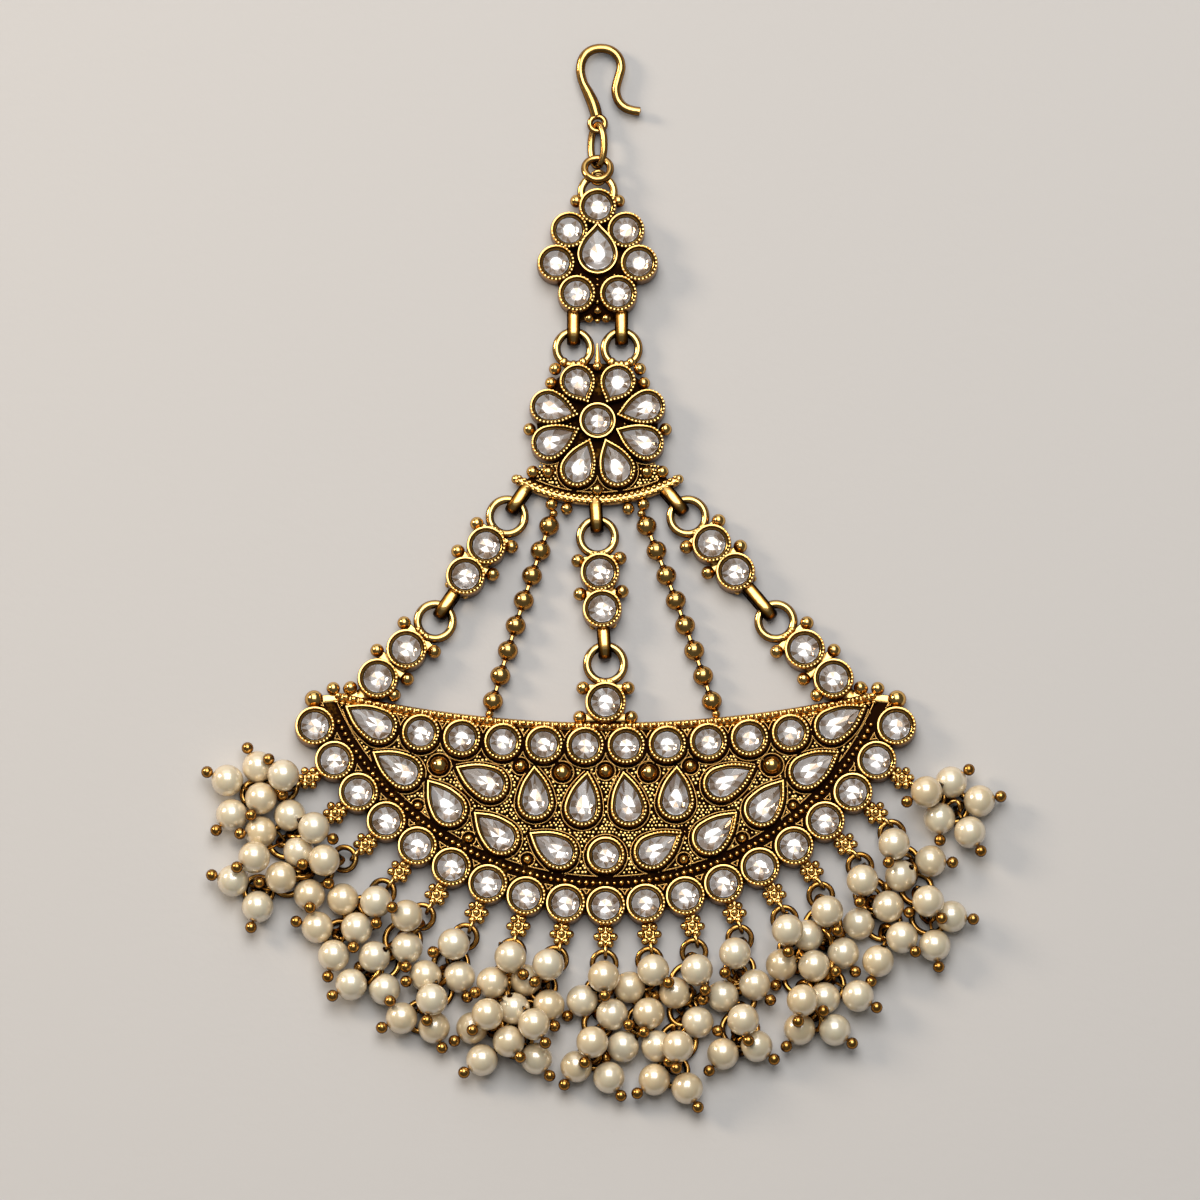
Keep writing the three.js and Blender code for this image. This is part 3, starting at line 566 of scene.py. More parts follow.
@dataclass
class Setting:
    """A cup of gold with a rim round one crystal. A pear has a tip; a round setting has none."""

    middle: Array
    size: float
    rim: Rim = Rim.BEADED
    tip: Array | None = None
    pear_walls: float = 0.88
    tip_share: float = 1.55
    # The way the beads stand proudest and the rim's painted shade is deepest: the lower right, away
    # from the light.
    proud_and_shaded_way: tuple[float, float] = (0.64, -0.77)

    @property
    def outline(self) -> Array:
        """The outside of the wall."""
        return self.drawn_in(0.0)

    def drawn_in(self, inset: float) -> Array:
        """The outline moved in by an even width, which is longer at a pear's tip.

        Args:
            inset: how far in from the wall.

        Returns:
            The outline's points.
        """
        if self.tip is None:
            return circle(self.size - inset, 36, self.middle)
        inset = inset * self.pear_walls
        aim = self.tip - self.middle
        tip = self.tip - aim * (self.tip_share * inset / np.hypot(*aim))
        return pear_outline(tip, self.middle, self.size - inset)

    def proud(self, at: Array) -> Array:
        """How far the rim's beads stand proud at some points: most towards its lower right."""
        facing = unit(at - self.middle) @ np.array(self.proud_and_shaded_way)
        return np.clip(self.rim.value + 0.65 * facing, 0.0, 1.0) * (self.rim is not Rim.PLAIN)

    def cup(self) -> Shape:
        """The wall, the rim, the sloping bore and its floor; the rim is darker where its beads
        stand proud,
        most towards its lower right: patina between the beads and painted shade away from the
        light.

        Returns:
            The cup, through the outlines at the setting's levels.
        """
        inset, height, tone = SETTING_LEVELS.T
        outlines = np.array([self.drawn_in(i) for i in inset])
        on_rim = (inset > 0.1) & (inset < 0.38) & (height > 2.8)
        if self.rim is Rim.PLAIN:
            height = height + 0.09 * on_rim
        # Painted shade: the rim band darkens with the beads' proudness, deepest on the lower right,
        # with patina between the beads.
        tones = tone[:, None] * (1 - 0.85 * on_rim[:, None] * self.proud(outlines[0])[None])
        return stacked(outlines, self.middle, height, tones)

    def gold(self) -> list[Shape]:
        """The cup and the fine beads on its rim, worn down towards its upper left.

        Returns:
            The cup, and the beads unless the rim is plain.
        """
        if self.rim is Rim.PLAIN:
            return [self.cup()]
        at = spaced(self.drawn_in(BEADS_IN), closed=True, pitch=BEADS_APART)
        proud = self.proud(at)
        places = raised(at, BEADS_HIGH + 0.17 * proud)
        return [self.cup(), stamped(GRAIN, places, 0.18 + 0.045 * proud)]

    def crystal(self, turn: float) -> Shape:
        """The stone: a faceted crown over a foiled, pointed back.

        Its girdle has sixteen corners on the setting's bore. The corners of its table and of its
        back lie on lines from the middle to every other one of them, at fixed shares of the way.
        Every other corner of the back is a little lower, so that its facets lean different ways.

        Args:
            turn: how far the facets are turned, as a share of one of them.

        Returns:
            The stone, with the crown in zone 0 and the back in zone 1.
        """
        girdle = spaced(self.drawn_in(BORE), 16, True, start=turn if self.tip is None else 0.0)
        heart = 0.7 * self.middle + 0.3 * girdle.mean(0)
        rings = [(1, girdle, GIRDLE), (0.62, girdle[::2], TABLE), (0.5, girdle[1::2], BACK)]
        corners = [raised(heart + share * (row - heart), z) for share, row, z in rings]
        points = np.concatenate([*corners, [[*heart, POINT]]])
        points[24:32:2, 2] -= BACK_DIP
        k = np.arange(8)
        g, g1, g2, g3 = 2 * k, 2 * k + 1, (2 * k + 2) % 16, (2 * k + 3) % 16
        top, low, low_next = 16 + k, 24 + k, 24 + (k + 1) % 8
        crown = [np.stack([top, g, g1, g2, 16 + (k + 1) % 8], -1), top[None]]
        back = [(low, low_next, g2), (low, g2, g1), (low_next, g3, g2), (k * 0 + 32, low_next, low)]
        faces = crown + [np.stack(rows, -1) for rows in back]
        zones = [np.full(len(f), zone) for f, zone in zip(faces, (0, 0, 1, 1, 1, 1))]
        return Shape(points, np.ones(len(points)), outward(points, faces), zones)


def set_gold(settings: list[Setting]) -> list[Shape]:
    """Everything of gold on some settings."""
    return [shape for setting in settings for shape in setting.gold()]


def strap(at: Array, wire: float, stem: float, turn: float = 0.0) -> Shape:
    """A strap eye: a flat band that comes off a casting, bends round a ring's wire and goes back.

    Its middle line is two straight runs and half an ellipse about the wire, in the upright plane
    along the piece. The section is a flat, soft-cornered bar across it.

    Args:
        at: the ring's wire that it holds.
        wire: that wire's thickness.
        stem: how far the band runs back to its casting.
        turn: the band's direction in degrees from straight up.

    Returns:
        The band with the collar on its stem.
    """
    bend, half_thick, half_wide = wire / 2 + 0.42, 0.34, 0.84
    angle = np.linspace(math.pi / 2, 1.5 * math.pi, 13)
    over = [[stem, bend * 0.55], [stem * 0.72, bend * 0.9], [stem * 0.36, bend * 1.04]]
    under = [[stem * 0.5, -bend], [stem, -bend]]
    curve = bend * np.stack([1.5 * np.cos(angle), np.sin(angle)], -1)
    line = np.concatenate([over, curve, under])
    line[:, 1] = np.maximum(line[:, 1], half_thick + 0.01 - LINK)
    up, across = np.append(heading(180 + turn), 0), np.append(heading(90 + turn), 0)
    path = np.array([*at, LINK]) + line @ np.array([up, [0, 0, 1.0]])
    section = wire_section(1, 16, 2.1)[:, ::-1] * [half_thick, half_wide]
    collar = np.array([*at, LINK + bend - 0.1]) + up * (wire / 2 + 1.0)
    return joined([
        swept(path, section, tuple(across), low=0.04),
        stamped(BEAD_FINE, collar[None], along(across[None, :2], (0.86, 0.34, 0.40))),
    ])


# ---------------------------------------------------------------- finishes


Tree, Socket, Material = bpy.types.NodeTree, bpy.types.NodeSocket, bpy.types.Material
Value = float | tuple[float, ...] | Socket


def node(
    tree: Tree, kind: str, inputs: dict[str | int, Value] | None = None, **values: object
) -> bpy.types.Node:
    """A shader node with its properties set, and its inputs given a value or joined to a socket.

    Args:
        tree: the node tree.
        kind: the node's type name after ShaderNode, or in full for a group's own two nodes.
        inputs: the values or sockets, by the input's name or number.
        values: the node's properties.

    Returns:
        The node.
    """
    made = tree.nodes.new(kind if kind.startswith("Node") else "ShaderNode" + kind)
    for key, value in values.items():
        setattr(made, key, value)
    for key, value in (inputs or {}).items():
        if isinstance(value, Socket):
            tree.links.new(value, made.inputs[key])
        else:
            made.inputs[key].default_value = value
    return made


def maths(tree: Tree, operation: str, *values: Value) -> Socket:
    """One sum, product or clamp of sockets or numbers."""
    return node(tree, "Math", dict(enumerate(values)), operation=operation).outputs[0]


def mixed(tree: Tree, share: Value, first: Value, second: Value) -> Socket:
    """A blend of two colours."""
    made = node(tree, "Mix", {"Factor": share, "A": first, "B": second}, data_type="RGBA")
    return made.outputs["Result"]


def clouds(tree: Tree, size: Value, detail: float = 2.0) -> Socket:
    """A noise on a piece's own coordinates, about a half."""
    place = node(tree, "TexCoord").outputs["Object"]
    return node(tree, "TexNoise", {"Vector": place, "Scale": size, "Detail": detail}).outputs["Fac"]


def painted(tree: Tree, name: str) -> Socket:
    """The value of one of a mesh's own attributes."""
    return node(tree, "Attribute", attribute_name=name).outputs["Fac"]


def toned(tree: Tree, share: Socket, stops: list[tuple[float, Colour]]) -> Socket:
    """A colour picked from a ramp.

    Args:
        tree: the node tree.
        share: where along the ramp.
        stops: the ramp's places and colours, in order.

    Returns:
        The colour.
    """
    made = node(tree, "ValToRGB", {"Fac": share})
    elements = made.color_ramp.elements
    for element, (at, colour) in zip([elements[0], elements[1]], [stops[0], stops[-1]]):
        element.position, element.color = at, (*colour, 1)
    for at, colour in stops[1:-1]:
        elements.new(at).color = (*colour, 1)
    return made.outputs["Color"]


def patina_group() -> Tree:
    """The dark patina that stays in the hollows of a polished casting, with the painted shade on
    undersides and painted highlights on tops that the polish carries.

    Shine is the polish plus a coarse and a fine noise, each about zero, and it drives a colour from
    soot brown to bright metal, and the roughness, metallic and height with it.

    Returns:
        The node group.
    """
    group = bpy.data.node_groups.new("antique patina", "ShaderNodeTree")
    for name, kind, default in [
        ("Polish", "Float", 1.0), ("Wear", "Float", 0.0), ("Cloud Size", "Float", 420.0),
        ("Grain Size", "Float", 2600.0), ("Smoothness", "Float", 0.2), ("Bright", "Color", None),
        ("Mid", "Color", None), ("Dark", "Color", None),
    ]:
        socket = group.interface.new_socket(name, in_out="INPUT", socket_type="NodeSocket" + kind)
        if default is not None:
            socket.default_value = default
    for name in ("Color", "Roughness", "Metallic", "Height"):
        kind = "Color" if name == "Color" else "Float"
        group.interface.new_socket(name, in_out="OUTPUT", socket_type="NodeSocket" + kind)
    given = node(group, "NodeGroupInput").outputs
    coarse = maths(group, "MULTIPLY_ADD", clouds(group, given["Cloud Size"]), 0.34, -0.17)
    fine = maths(group, "MULTIPLY_ADD", clouds(group, given["Grain Size"]), 0.26, -0.13)
    worn = maths(group, "ADD", given["Polish"], given["Wear"])
    shine = maths(group, "ADD", worn, maths(group, "ADD", coarse, fine))
    shine = maths(group, "MINIMUM", maths(group, "MAXIMUM", shine, 0.0), 1.0)
    half = maths(group, "MINIMUM", maths(group, "MULTIPLY", shine, 2.0), 1.0)
    rest = maths(group, "MAXIMUM", maths(group, "MULTIPLY_ADD", shine, 2.0, -1.0), 0.0)
    colour = mixed(group, rest, mixed(group, half, given["Dark"], given["Mid"]), given["Bright"])
    dull = maths(group, "SUBTRACT", 1.0, shine)
    rough = maths(group, "MULTIPLY_ADD", dull, 0.3, given["Smoothness"])
    metal = maths(group, "MULTIPLY_ADD", shine, 0.5, 0.98)
    node(group, "NodeGroupOutput", {
        "Color": colour,
        "Roughness": maths(group, "MULTIPLY_ADD", fine, 0.3, rough),
        "Metallic": maths(group, "MINIMUM", metal, 1.0),
        "Height": maths(group, "ADD", maths(group, "MULTIPLY", coarse, 1.5), fine),
    })
    return group


def started(name: str) -> tuple[Material, Tree]:
    """A new material.

    Args:
        name: its name.

    Returns:
        The material and its emptied node tree.
    """
    made = bpy.data.materials.new(name)
    made.use_nodes = True
    made.node_tree.nodes.clear()
    return made, made.node_tree


def shaded(tree: Tree, inputs: dict[str | int, Value]) -> None:
    """Ends a material's tree in a Principled shader with the given inputs."""
    shader = node(tree, "BsdfPrincipled", inputs)
    node(tree, "OutputMaterial", {"Surface": shader.outputs["BSDF"]})


@dataclass(frozen=True)
class AntiqueGold:
    """Gold-plated metal with a dark patina left in its hollows, and painted shade and highlights
    from its polish.
    """

    name: str
    wear: float = 0.0
    smoothness: float = 0.14
    bump: float = 0.12
    bump_height: float = 0.00012
    bright: Colour = (1.0, 0.65, 0.215)
    mid: Colour = (0.42, 0.18, 0.024)
    dark: Colour = (0.007, 0.0018, 0.0002)

    def dressed(self, patina: Tree) -> Material:
        """The finish as a material.

        Args:
            patina: the patina node group.

        Returns:
            The material.
        """
        made, tree = started(self.name)
        group = node(tree, "Group", {
            "Polish": painted(tree, "polish"), "Wear": self.wear, "Smoothness": self.smoothness,
            "Bright": (*self.bright, 1), "Mid": (*self.mid, 1), "Dark": (*self.dark, 1),
        }, node_tree=patina).outputs
        bump = node(tree, "Bump", {
            "Strength": self.bump, "Distance": self.bump_height, "Height": group["Height"]})
        plain = {name: group[name] for name in ("Roughness", "Metallic")}
        shaded(tree, {"Base Color": group["Color"], "Normal": bump.outputs["Normal"], **plain})
        return made


@dataclass(frozen=True)
class CutCrystal:
    """Clear glass over a silvered, faceted back, dulled in places, whose facets carry painted
    reflections: random tones from brown, for the gold rim, to white, for the light.
    """

    tint: Colour = (0.985, 0.98, 0.985)
    index: float = 1.56
    # Painted reflections: the foil's tones, from the gold rim's brown to the light's white, besides
    # its own mirror.
    foil: tuple[tuple[float, Colour], ...] = (
        (0.0, (0.26, 0.15, 0.06)), (0.35, (0.60, 0.46, 0.34)),
        (0.6, (0.90, 0.86, 0.84)), (1.0, (1.0, 0.99, 1.0)),
    )
    foil_metal: float = 0.42
    foil_gloss: float = 0.02
    foil_dulling: float = 0.05
    cloud_size: float = 260.0

    def dressed(self) -> list[Material]:
        """The clear crown and the silvered back as materials.

        Returns:
            The two materials, in the order of the stone's zones.
        """
        glass, tree = started("crystal glass")
        shaded(tree, {"Base Color": (*self.tint, 1), "Transmission Weight": 1.0, "Roughness": 0.0,
                      "IOR": self.index})
        foil, tree = started("crystal foil")
        cloud = clouds(tree, self.cloud_size, 0.0)
        rough = maths(tree, "MULTIPLY_ADD", cloud, self.foil_dulling, self.foil_gloss)
        # Painted reflection: each facet takes its own tone along the foil's ramp, on top of its
        # real metallic reflection.
        colour = toned(tree, painted(tree, "facet"), list(self.foil))
        shaded(tree, {"Base Color": colour, "Roughness": rough, "Metallic": self.foil_metal})
        return [glass, foil]


@dataclass(frozen=True)
class PearlSkin:
    """A cream pearl coating with a soft lustre under a clear gloss, with painted shade round its
    edge.
    """

    body: Colour = (0.97, 0.79, 0.50)
    glow: Colour = (1.0, 0.91, 0.69)
    # The painted shade's colour round the pearl's outline.
    edge: Colour = (0.50, 0.31, 0.11)
    edge_shade_width: float = 0.42
    edge_shade_strength: float = 0.75
    shade: float = 0.86
    cloud_size: float = 260.0
    cloud_strength: float = 0.5
    metal: float = 0.12
    roughness: float = 0.34
    coat_roughness: float = 0.18
    coat_index: float = 2.5
    depth: float = 0.12
    depth_reach: tuple[float, float, float] = (0.0012, 0.0009, 0.0006)

    def dressed(self) -> Material:
        """The finish as a material: its cloudy colour, the painted shade round its edge and its
        lustre.

        Returns:
            The material.
        """
        made, tree = started("pearl")
        cloud, deep = clouds(tree, self.cloud_size, 3.0), painted(tree, "polish")
        tone = maths(tree, "MULTIPLY_ADD", cloud, self.cloud_strength, deep)
        shade = tuple(c * self.shade for c in self.body)
        colour = toned(tree, tone, [(0.0, shade), (0.5, self.body), (1.0, self.glow)])
        # Painted shade: the colour browns towards the outline as the surface turns away from the
        # view.
        facing = node(tree, "LayerWeight", {"Blend": self.edge_shade_width}).outputs["Facing"]
        share = maths(tree, "MULTIPLY", facing, self.edge_shade_strength)
        shaded(tree, {
            "Base Color": mixed(tree, share, colour, (*self.edge, 1)), "Metallic": self.metal,
            "Roughness": self.roughness, "Coat Weight": 1.0, "Coat IOR": self.coat_index,
            "Coat Roughness": self.coat_roughness, "Subsurface Weight": self.depth,
            "Subsurface Scale": 1.0, "Subsurface Radius": self.depth_reach,
        })
        return made


class Metal(Enum):
    """The ways that the gold is worked."""

    CAST = AntiqueGold("cast gold", wear=-0.05)
    GRAINED = AntiqueGold("granulated gold", wear=-0.14, bump=0.05)
    WIRE = AntiqueGold("gold wire", wear=-0.16, smoothness=0.12, bump=0.04)
    # A darker copy of the wire finish for the wires among the pearls: darker bronze, and painted
    # shade under the pearls.
    DARK_WIRE = AntiqueGold("darkened wire", wear=-0.36, smoothness=0.1, bump=0.04)


@dataclass
class Bench:
    """Where a finished shape is dressed and becomes a Blender object on the frame."""

    shift: Array
    crease: float = math.radians(42)
    metals: dict[Metal, list[Material]] = field(init=False)
    crystal: list[Material] = field(init=False)
    pearl: list[Material] = field(init=False)

    def __post_init__(self) -> None:
        """Makes every finish once."""
        patina = patina_group()
        self.metals = {metal: [metal.value.dressed(patina)] for metal in Metal}
        self.crystal, self.pearl = CutCrystal().dressed(), [PearlSkin().dressed()]

    def finish(
        self, name: str, shapes: list[Shape], materials: list[Material], slot: Slot,
        nodes: list[str], smooth: bool = True,
    ) -> None:
        """Puts a piece on the frame.

        Args:
            name: the piece's name.
            shapes: what it is made of.
            materials: its materials, in the order of the zones.
            slot: the record's slot; not used.
            nodes: the CAD nodes that it stands for.
            smooth: whether its faces blend into each other below the crease angle.
        """
        whole = joined(shapes)
        mesh = bpy.data.meshes.new(name)
        rows = [face for block in whole.faces for face in block.tolist()]
        mesh.from_pydata((whole.points + self.shift) / 1000, [], rows)
        mesh.polygons.foreach_set("material_index", np.concatenate(whole.zones).astype(np.int32))
        tone = mesh.attributes.new("polish", "FLOAT", "POINT")
        tone.data.foreach_set("value", whole.polish.astype(np.float32))
        if smooth:
            mesh.shade_smooth()
            mesh.set_sharp_from_angle(angle=self.crease)
        else:
            mesh.shade_flat()
            # Painted reflections: each crystal facet gets a random tone, which the foil turns into
            # brown or white.
            facet = mesh.attributes.new("facet", "FLOAT", "FACE")
            reflection_draws = 0.15 + 0.85 * np.random.default_rng(len(rows)).random(len(rows))
            facet.data.foreach_set("value", reflection_draws.astype(np.float32))
        for each in materials:
            mesh.materials.append(each)
        made = bpy.data.objects.new(name, mesh)
        bpy.context.scene.collection.objects.link(made)
        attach(made, "root")
        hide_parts(*nodes)
        log.info("%s: %d faces", name, len(rows))

    def gold(
        self, name: str, shapes: list[Shape], nodes: list[str], metal: Metal = Metal.CAST
    ) -> None:
        """A piece of gold."""
        self.finish(name, shapes, self.metals[metal], Slot.GOLD, nodes)

    def crystals(self, name: str, settings: list[Setting], nodes: list[str]) -> None:
        """The stones of some settings, each turned its own way.

        Args:
            name: the piece's name.
            settings: the settings that they fill.
            nodes: the CAD nodes that they stand for.
        """
        turns = np.random.default_rng(len(settings)).random(len(settings))
        stones = [s.crystal(float(turn)) for s, turn in zip(settings, turns)]
        self.finish(name, stones, self.crystal, Slot.CRYSTAL, nodes, smooth=False)


# ---------------------------------------------------------------- castings and links


@dataclass
class Hook:
    """The hair hook on its long link, and the ring below it with its small tie to the crown."""

    x: float = float(CROWN[0])
    wire: float = 1.18
    eye_y: float = 59.25
    eye: float = 0.95
    eye_wire: float = 0.76
    link_y: float = 56.45
    link_half: float = 2.65
    link_width: float = 1.15
    link_wire: float = 0.92
    link_tilt: float = 44.0
    ring_y: float = 53.3
    ring_mid: float = 1.62
    ring_wire: float = 0.95
    bends: tuple[tuple[float, float], ...] = (
        (-0.1, 1.0), (-0.5, 2.4), (-1.1, 3.8), (-1.85, 5.4), (-2.15, 7.0), (-1.8, 8.45),
        (-0.9, 9.35), (0.4, 9.65), (1.75, 9.35), (2.65, 8.45), (2.95, 7.2), (2.6, 5.8),
        (2.3, 4.4), (2.55, 3.1), (3.25, 2.2), (4.2, 1.75), (5.3, 1.55),
    )

    def hook(self) -> list[Shape]:
        """The bent wire, thicker where it rises from its eye, and the eye.

        Returns:
            The wire and the eye.
        """
        path = smooth_path(raised(np.array(self.bends) + [self.x, self.eye_y], LINK), 110)
        taper = np.ones(len(path))
        taper[:22] += 0.34 * np.sin(np.linspace(0.3, 1, 22) * math.pi)
        eye = ring((self.x, self.eye_y), self.eye, self.eye_wire)
        return [swept(path, wire_section(self.wire / 2, 14), taper=taper), eye]

    def link(self) -> Shape:
        """The long oval link, half turned on edge.

        Returns:
            The link, swept round an ellipse that is turned about its long way.
        """
        turn = np.linspace(0, math.tau, 24, endpoint=False)
        tilt = math.radians(self.link_tilt)
        across = self.link_width * np.cos(turn)[:, None] * [math.cos(tilt), 0, math.sin(tilt)]
        down = self.link_half * np.sin(turn)[:, None] * [0, 1, 0]
        path = smooth_path(across + down + [self.x, self.link_y, LINK], 56, closed=True)
        up = (-math.sin(tilt), 0, math.cos(tilt))
        return swept(path, wire_section(self.link_wire / 2), up, closed=True)

    def build(self, bench: Bench) -> None:
        """Makes the three pieces.

        Args:
            bench: where pieces are finished.
        """
        top = ring((self.x, self.ring_y), self.ring_mid, self.ring_wire, z=2.15, tilt=-24)
        tie = ring((self.x + 0.1, self.ring_y - 1.15), 0.85, 0.5, z=2.3, tilt=30, axis=12, sides=28)
        bench.gold("hair_hook", self.hook(), ["hook"], Metal.WIRE)
        bench.gold("long_link", [self.link()], ["hook_link"], Metal.WIRE)
        bench.gold("crown_jump_ring", [top, tie], ["top_ring"], Metal.WIRE)


@dataclass
class Crown:
    """The top casting: seven round stones about a pear.

    Places, edge and grains are given from its middle; a grain is x, y, height and radius.
    """

    collet: float = 2.38
    pear: float = 2.6
    tip: float = 4.2
    loop_y: float = 8.1
    loop_mid: float = 2.05
    loop_wire: float = 1.0
    eye_x: float = 3.0
    eye_y: float = -9.75
    places: tuple[tuple[float, float], ...] = (
        (0, 6.1), (3.55, 3.1), (5.2, -1.1), (2.6, -5.0), (-2.6, -5.0), (-5.2, -1.1), (-3.55, 3.1),
    )
    edge: tuple[tuple[float, float], ...] = (
        (0, 7.4), (4.4, 3.8), (6.0, -1.2), (3.8, -6.4), (2.2, -8.2), (0, -8.0),
    )
    grains: tuple[tuple[float, float, float, float], ...] = (
        (2.62, 7.0, 1.5, 0.84), (1.08, -7.95, 1.5, 0.6), (0, -7.0, 1.9, 0.5), (0, -5.9, 1.7, 0.3),
        (0, -8.3, 1.6, 0.34), (0, -3.7, 1.5, 0.2), (2.1, -2.4, 1.45, 0.2), (3.0, 1.0, 1.45, 0.18),
        (2.0, 3.9, 1.4, 0.18), (0, -2.95, 1.4, 0.16), (3.2, -2.1, 1.4, 0.18),
    )

    def settings(self) -> list[Setting]:
        """The pear first, then the round settings clockwise from the top."""
        pear = Setting(CROWN, self.pear, Rim.PLAIN, CROWN + [0, self.tip])
        return [pear] + [Setting(CROWN + place, self.collet) for place in self.places]

    def ground(self) -> Shape:
        """The plate behind the settings, a blunt pointed oval with an eased edge.

        Returns:
            The plate.
        """
        outline = np.array(list(self.edge) + [(-x, y) for x, y in self.edge[-2:0:-1]])
        return lofted(outline + CROWN, CROWN, [
            (0.97, 0.02, 0.1), (1, 0.12, 0.2), (1, 1.1, 0.25), (0.97, 1.25, 0.1), (0.9, PLATE, 0)])

    def loop(self) -> Shape:
        """The half ring at the top, which runs into the top setting at both ends."""
        flat = self.loop_mid * heading(np.linspace(62, 298, 34)) + CROWN + [0, self.loop_y]
        return swept(raised(flat, 1.6), wire_section(self.loop_wire / 2, 12, 2.6))

    def build(self, bench: Bench) -> None:
        """Makes the casting and its stones.

        Args:
            bench: where pieces are finished.
        """
        settings = self.settings()
        eyes = [strap(CROWN + [s.value * self.eye_x, self.eye_y], 1.05, 3.0) for s in Side]
        grains = beads(mirrored(self.grains), CROWN)
        shapes = [self.ground(), self.loop(), grains, *eyes, *set_gold(settings)]
        bench.gold("crown_casting", shapes, ["crown"])
        stones = ["crown_stone_pear"] + [f"crown_stone_{k}" for k in range(1, 8)]
        bench.crystals("crown_crystals", settings, stones)


@dataclass
class Ground:
    """What the fine granulation keeps clear of, and where it lies.

    Circles are round settings and beads, as x, y and radius. Pears are outlines. Bands are arcs, as
    x, y, radius and half their width. Inside says which points lie on the casting.
    """

    circles: list[tuple[float, float, float]]
    pears: list[Array]
    bands: list[tuple[float, float, float, float]]
    inside: Inside
    pitch: float = 0.48
    frame_step: float = 0.2
    frame_gap: float = 0.36
    frame_room: float = 0.335
    least_room: float = 0.2
    tight_room: float = 0.34
    open_room: float = 0.52
    low_lift: float = 1.38

    def clearance(self, at: Array) -> Array:
        """How far points stand from the nearest setting, bead or band, negative inside one.

        For a circle it is the distance to its middle less its radius. For a pear it is the distance
        to its outline's nearest segment, with a minus sign inside. For a band it is the distance to
        its arc less its half width.

        Args:
            at: the points.

        Returns:
            One distance for each.
        """
        best = np.full(len(at), np.inf)
        for x, y, radius in self.circles:
            best = np.minimum(best, np.hypot(at[:, 0] - x, at[:, 1] - y) - radius)
        for x, y, radius, half in self.bands:
            best = np.minimum(best, np.abs(np.hypot(at[:, 0] - x, at[:, 1] - y) - radius) - half)
        for outline in self.pears:
            near = np.hypot(*(at - outline.mean(0)).T) < 7
            if not near.any():
                continue
            off = at[near][:, None] - outline[None]
            run = (np.roll(outline, -1, 0) - outline)[None]
            t = np.clip((off * run).sum(-1) / (run**2).sum(-1), 0, 1)[..., None]
            gap = np.linalg.norm(off - t * run, axis=-1).min(1)
            turn = run[..., 0] * off[..., 1] - run[..., 1] * off[..., 0]
            inside = (turn > 0).all(1) | (turn < 0).all(1)
            best[near] = np.minimum(best[near], np.where(inside, -gap, gap))
        return best

    def outlines(self) -> list[Array]:
        """Points all round every obstacle, a little outside it.

        Returns:
            One row of points for each edge.
        """
        out = self.frame_gap
        rounds = [((x, y), radius + out) for x, y, radius in self.circles]
        edges = [((x, y), r + s * (h + out)) for x, y, r, h in self.bands for s in (-1, 1)]
        rows = [circle(r, max(int(math.tau * r / self.frame_step), 8), at) for at, r in rounds]
        for outline in self.pears:
            ahead = unit(np.roll(outline, -1, 0) - np.roll(outline, 1, 0))
            side = np.stack([ahead[:, 1], -ahead[:, 0]], -1)
            sign = np.sign(((outline - outline.mean(0)) * side).sum())
            rows.append(spaced(outline + side * sign * out, closed=True, pitch=self.frame_step))
        return rows + [circle(r, int(math.tau * r / self.frame_step), at) for at, r in edges]

    def frames(self) -> Shape:
        """The fine wires round the fillings, as short overlapping links that follow each outline.

        Returns:
            The wires.
        """
        spots, ways = [], []
        for row in self.outlines():
            keep = (self.clearance(row) > self.frame_room) & self.inside(row)
            spots.append(row[keep])
            ways.append((np.roll(row, -1, 0) - np.roll(row, 1, 0))[keep])
        bases = along(np.concatenate(ways), (0.17, 0.105, 0.16))
        return stamped(GRAIN, raised(np.concatenate(spots), 1.72), bases)

    def filling(self, low: Array, high: Array, seed: int) -> Shape:
        """Gold granules scattered over the open ground, smaller where there is less room.

        Args:
            low: the area's lowest corner.
            high: its highest corner.
            seed: the scatter's seed.

        Returns:
            The granules.
        """
        draw = np.random.default_rng(seed)
        columns = np.arange(low[0], high[0], self.pitch)
        xs, ys = np.meshgrid(columns, np.arange(low[1], high[1], self.pitch * 0.87))
        xs = xs + (np.arange(len(xs)) % 2)[:, None] * self.pitch / 2
        at = np.column_stack([xs.ravel(), ys.ravel()])
        at = at + draw.uniform(-0.1, 0.1, at.shape)
        room = self.clearance(at)
        keep = (room > self.least_room) & self.inside(at)
        wedged = (room < self.tight_room) & (draw.random(len(at)) < 0.5)
        keep &= (room > self.open_room) | wedged
        at, room = at[keep], room[keep]
        free = room > self.open_room
        size = np.where(free, draw.uniform(0.18, 0.3, len(at)), 0.5 * room)
        lift = np.where(free, draw.uniform(self.low_lift, 1.56, len(at)), self.low_lift)
        return stamped(GRAIN, raised(at, lift), size)


@dataclass(frozen=True)
class Arch:
    """A long shallow arc that bulges down the piece, about a middle far above it."""

    foot: tuple[float, float]
    radius: float
    half: float

    @property
    def middle(self) -> Array:
        """The arc's middle, straight above its foot."""
        return np.array(self.foot) + [0, self.radius]

    def line(self, offset: float, steps: int, reach: float = 1.0) -> Array:
        """Points evenly along the arc.

        A point is the middle plus the radius and offset along the heading of its angle.

        Args:
            offset: how far down the piece the line is moved.
            steps: how many points come back.
            reach: the share of the arc's width that the line spans.

        Returns:
            The points, from left to right.
        """
        turn = math.degrees(math.asin(self.half / self.radius)) * reach
        return self.middle + (self.radius + offset) * heading(np.linspace(-turn, turn, steps))


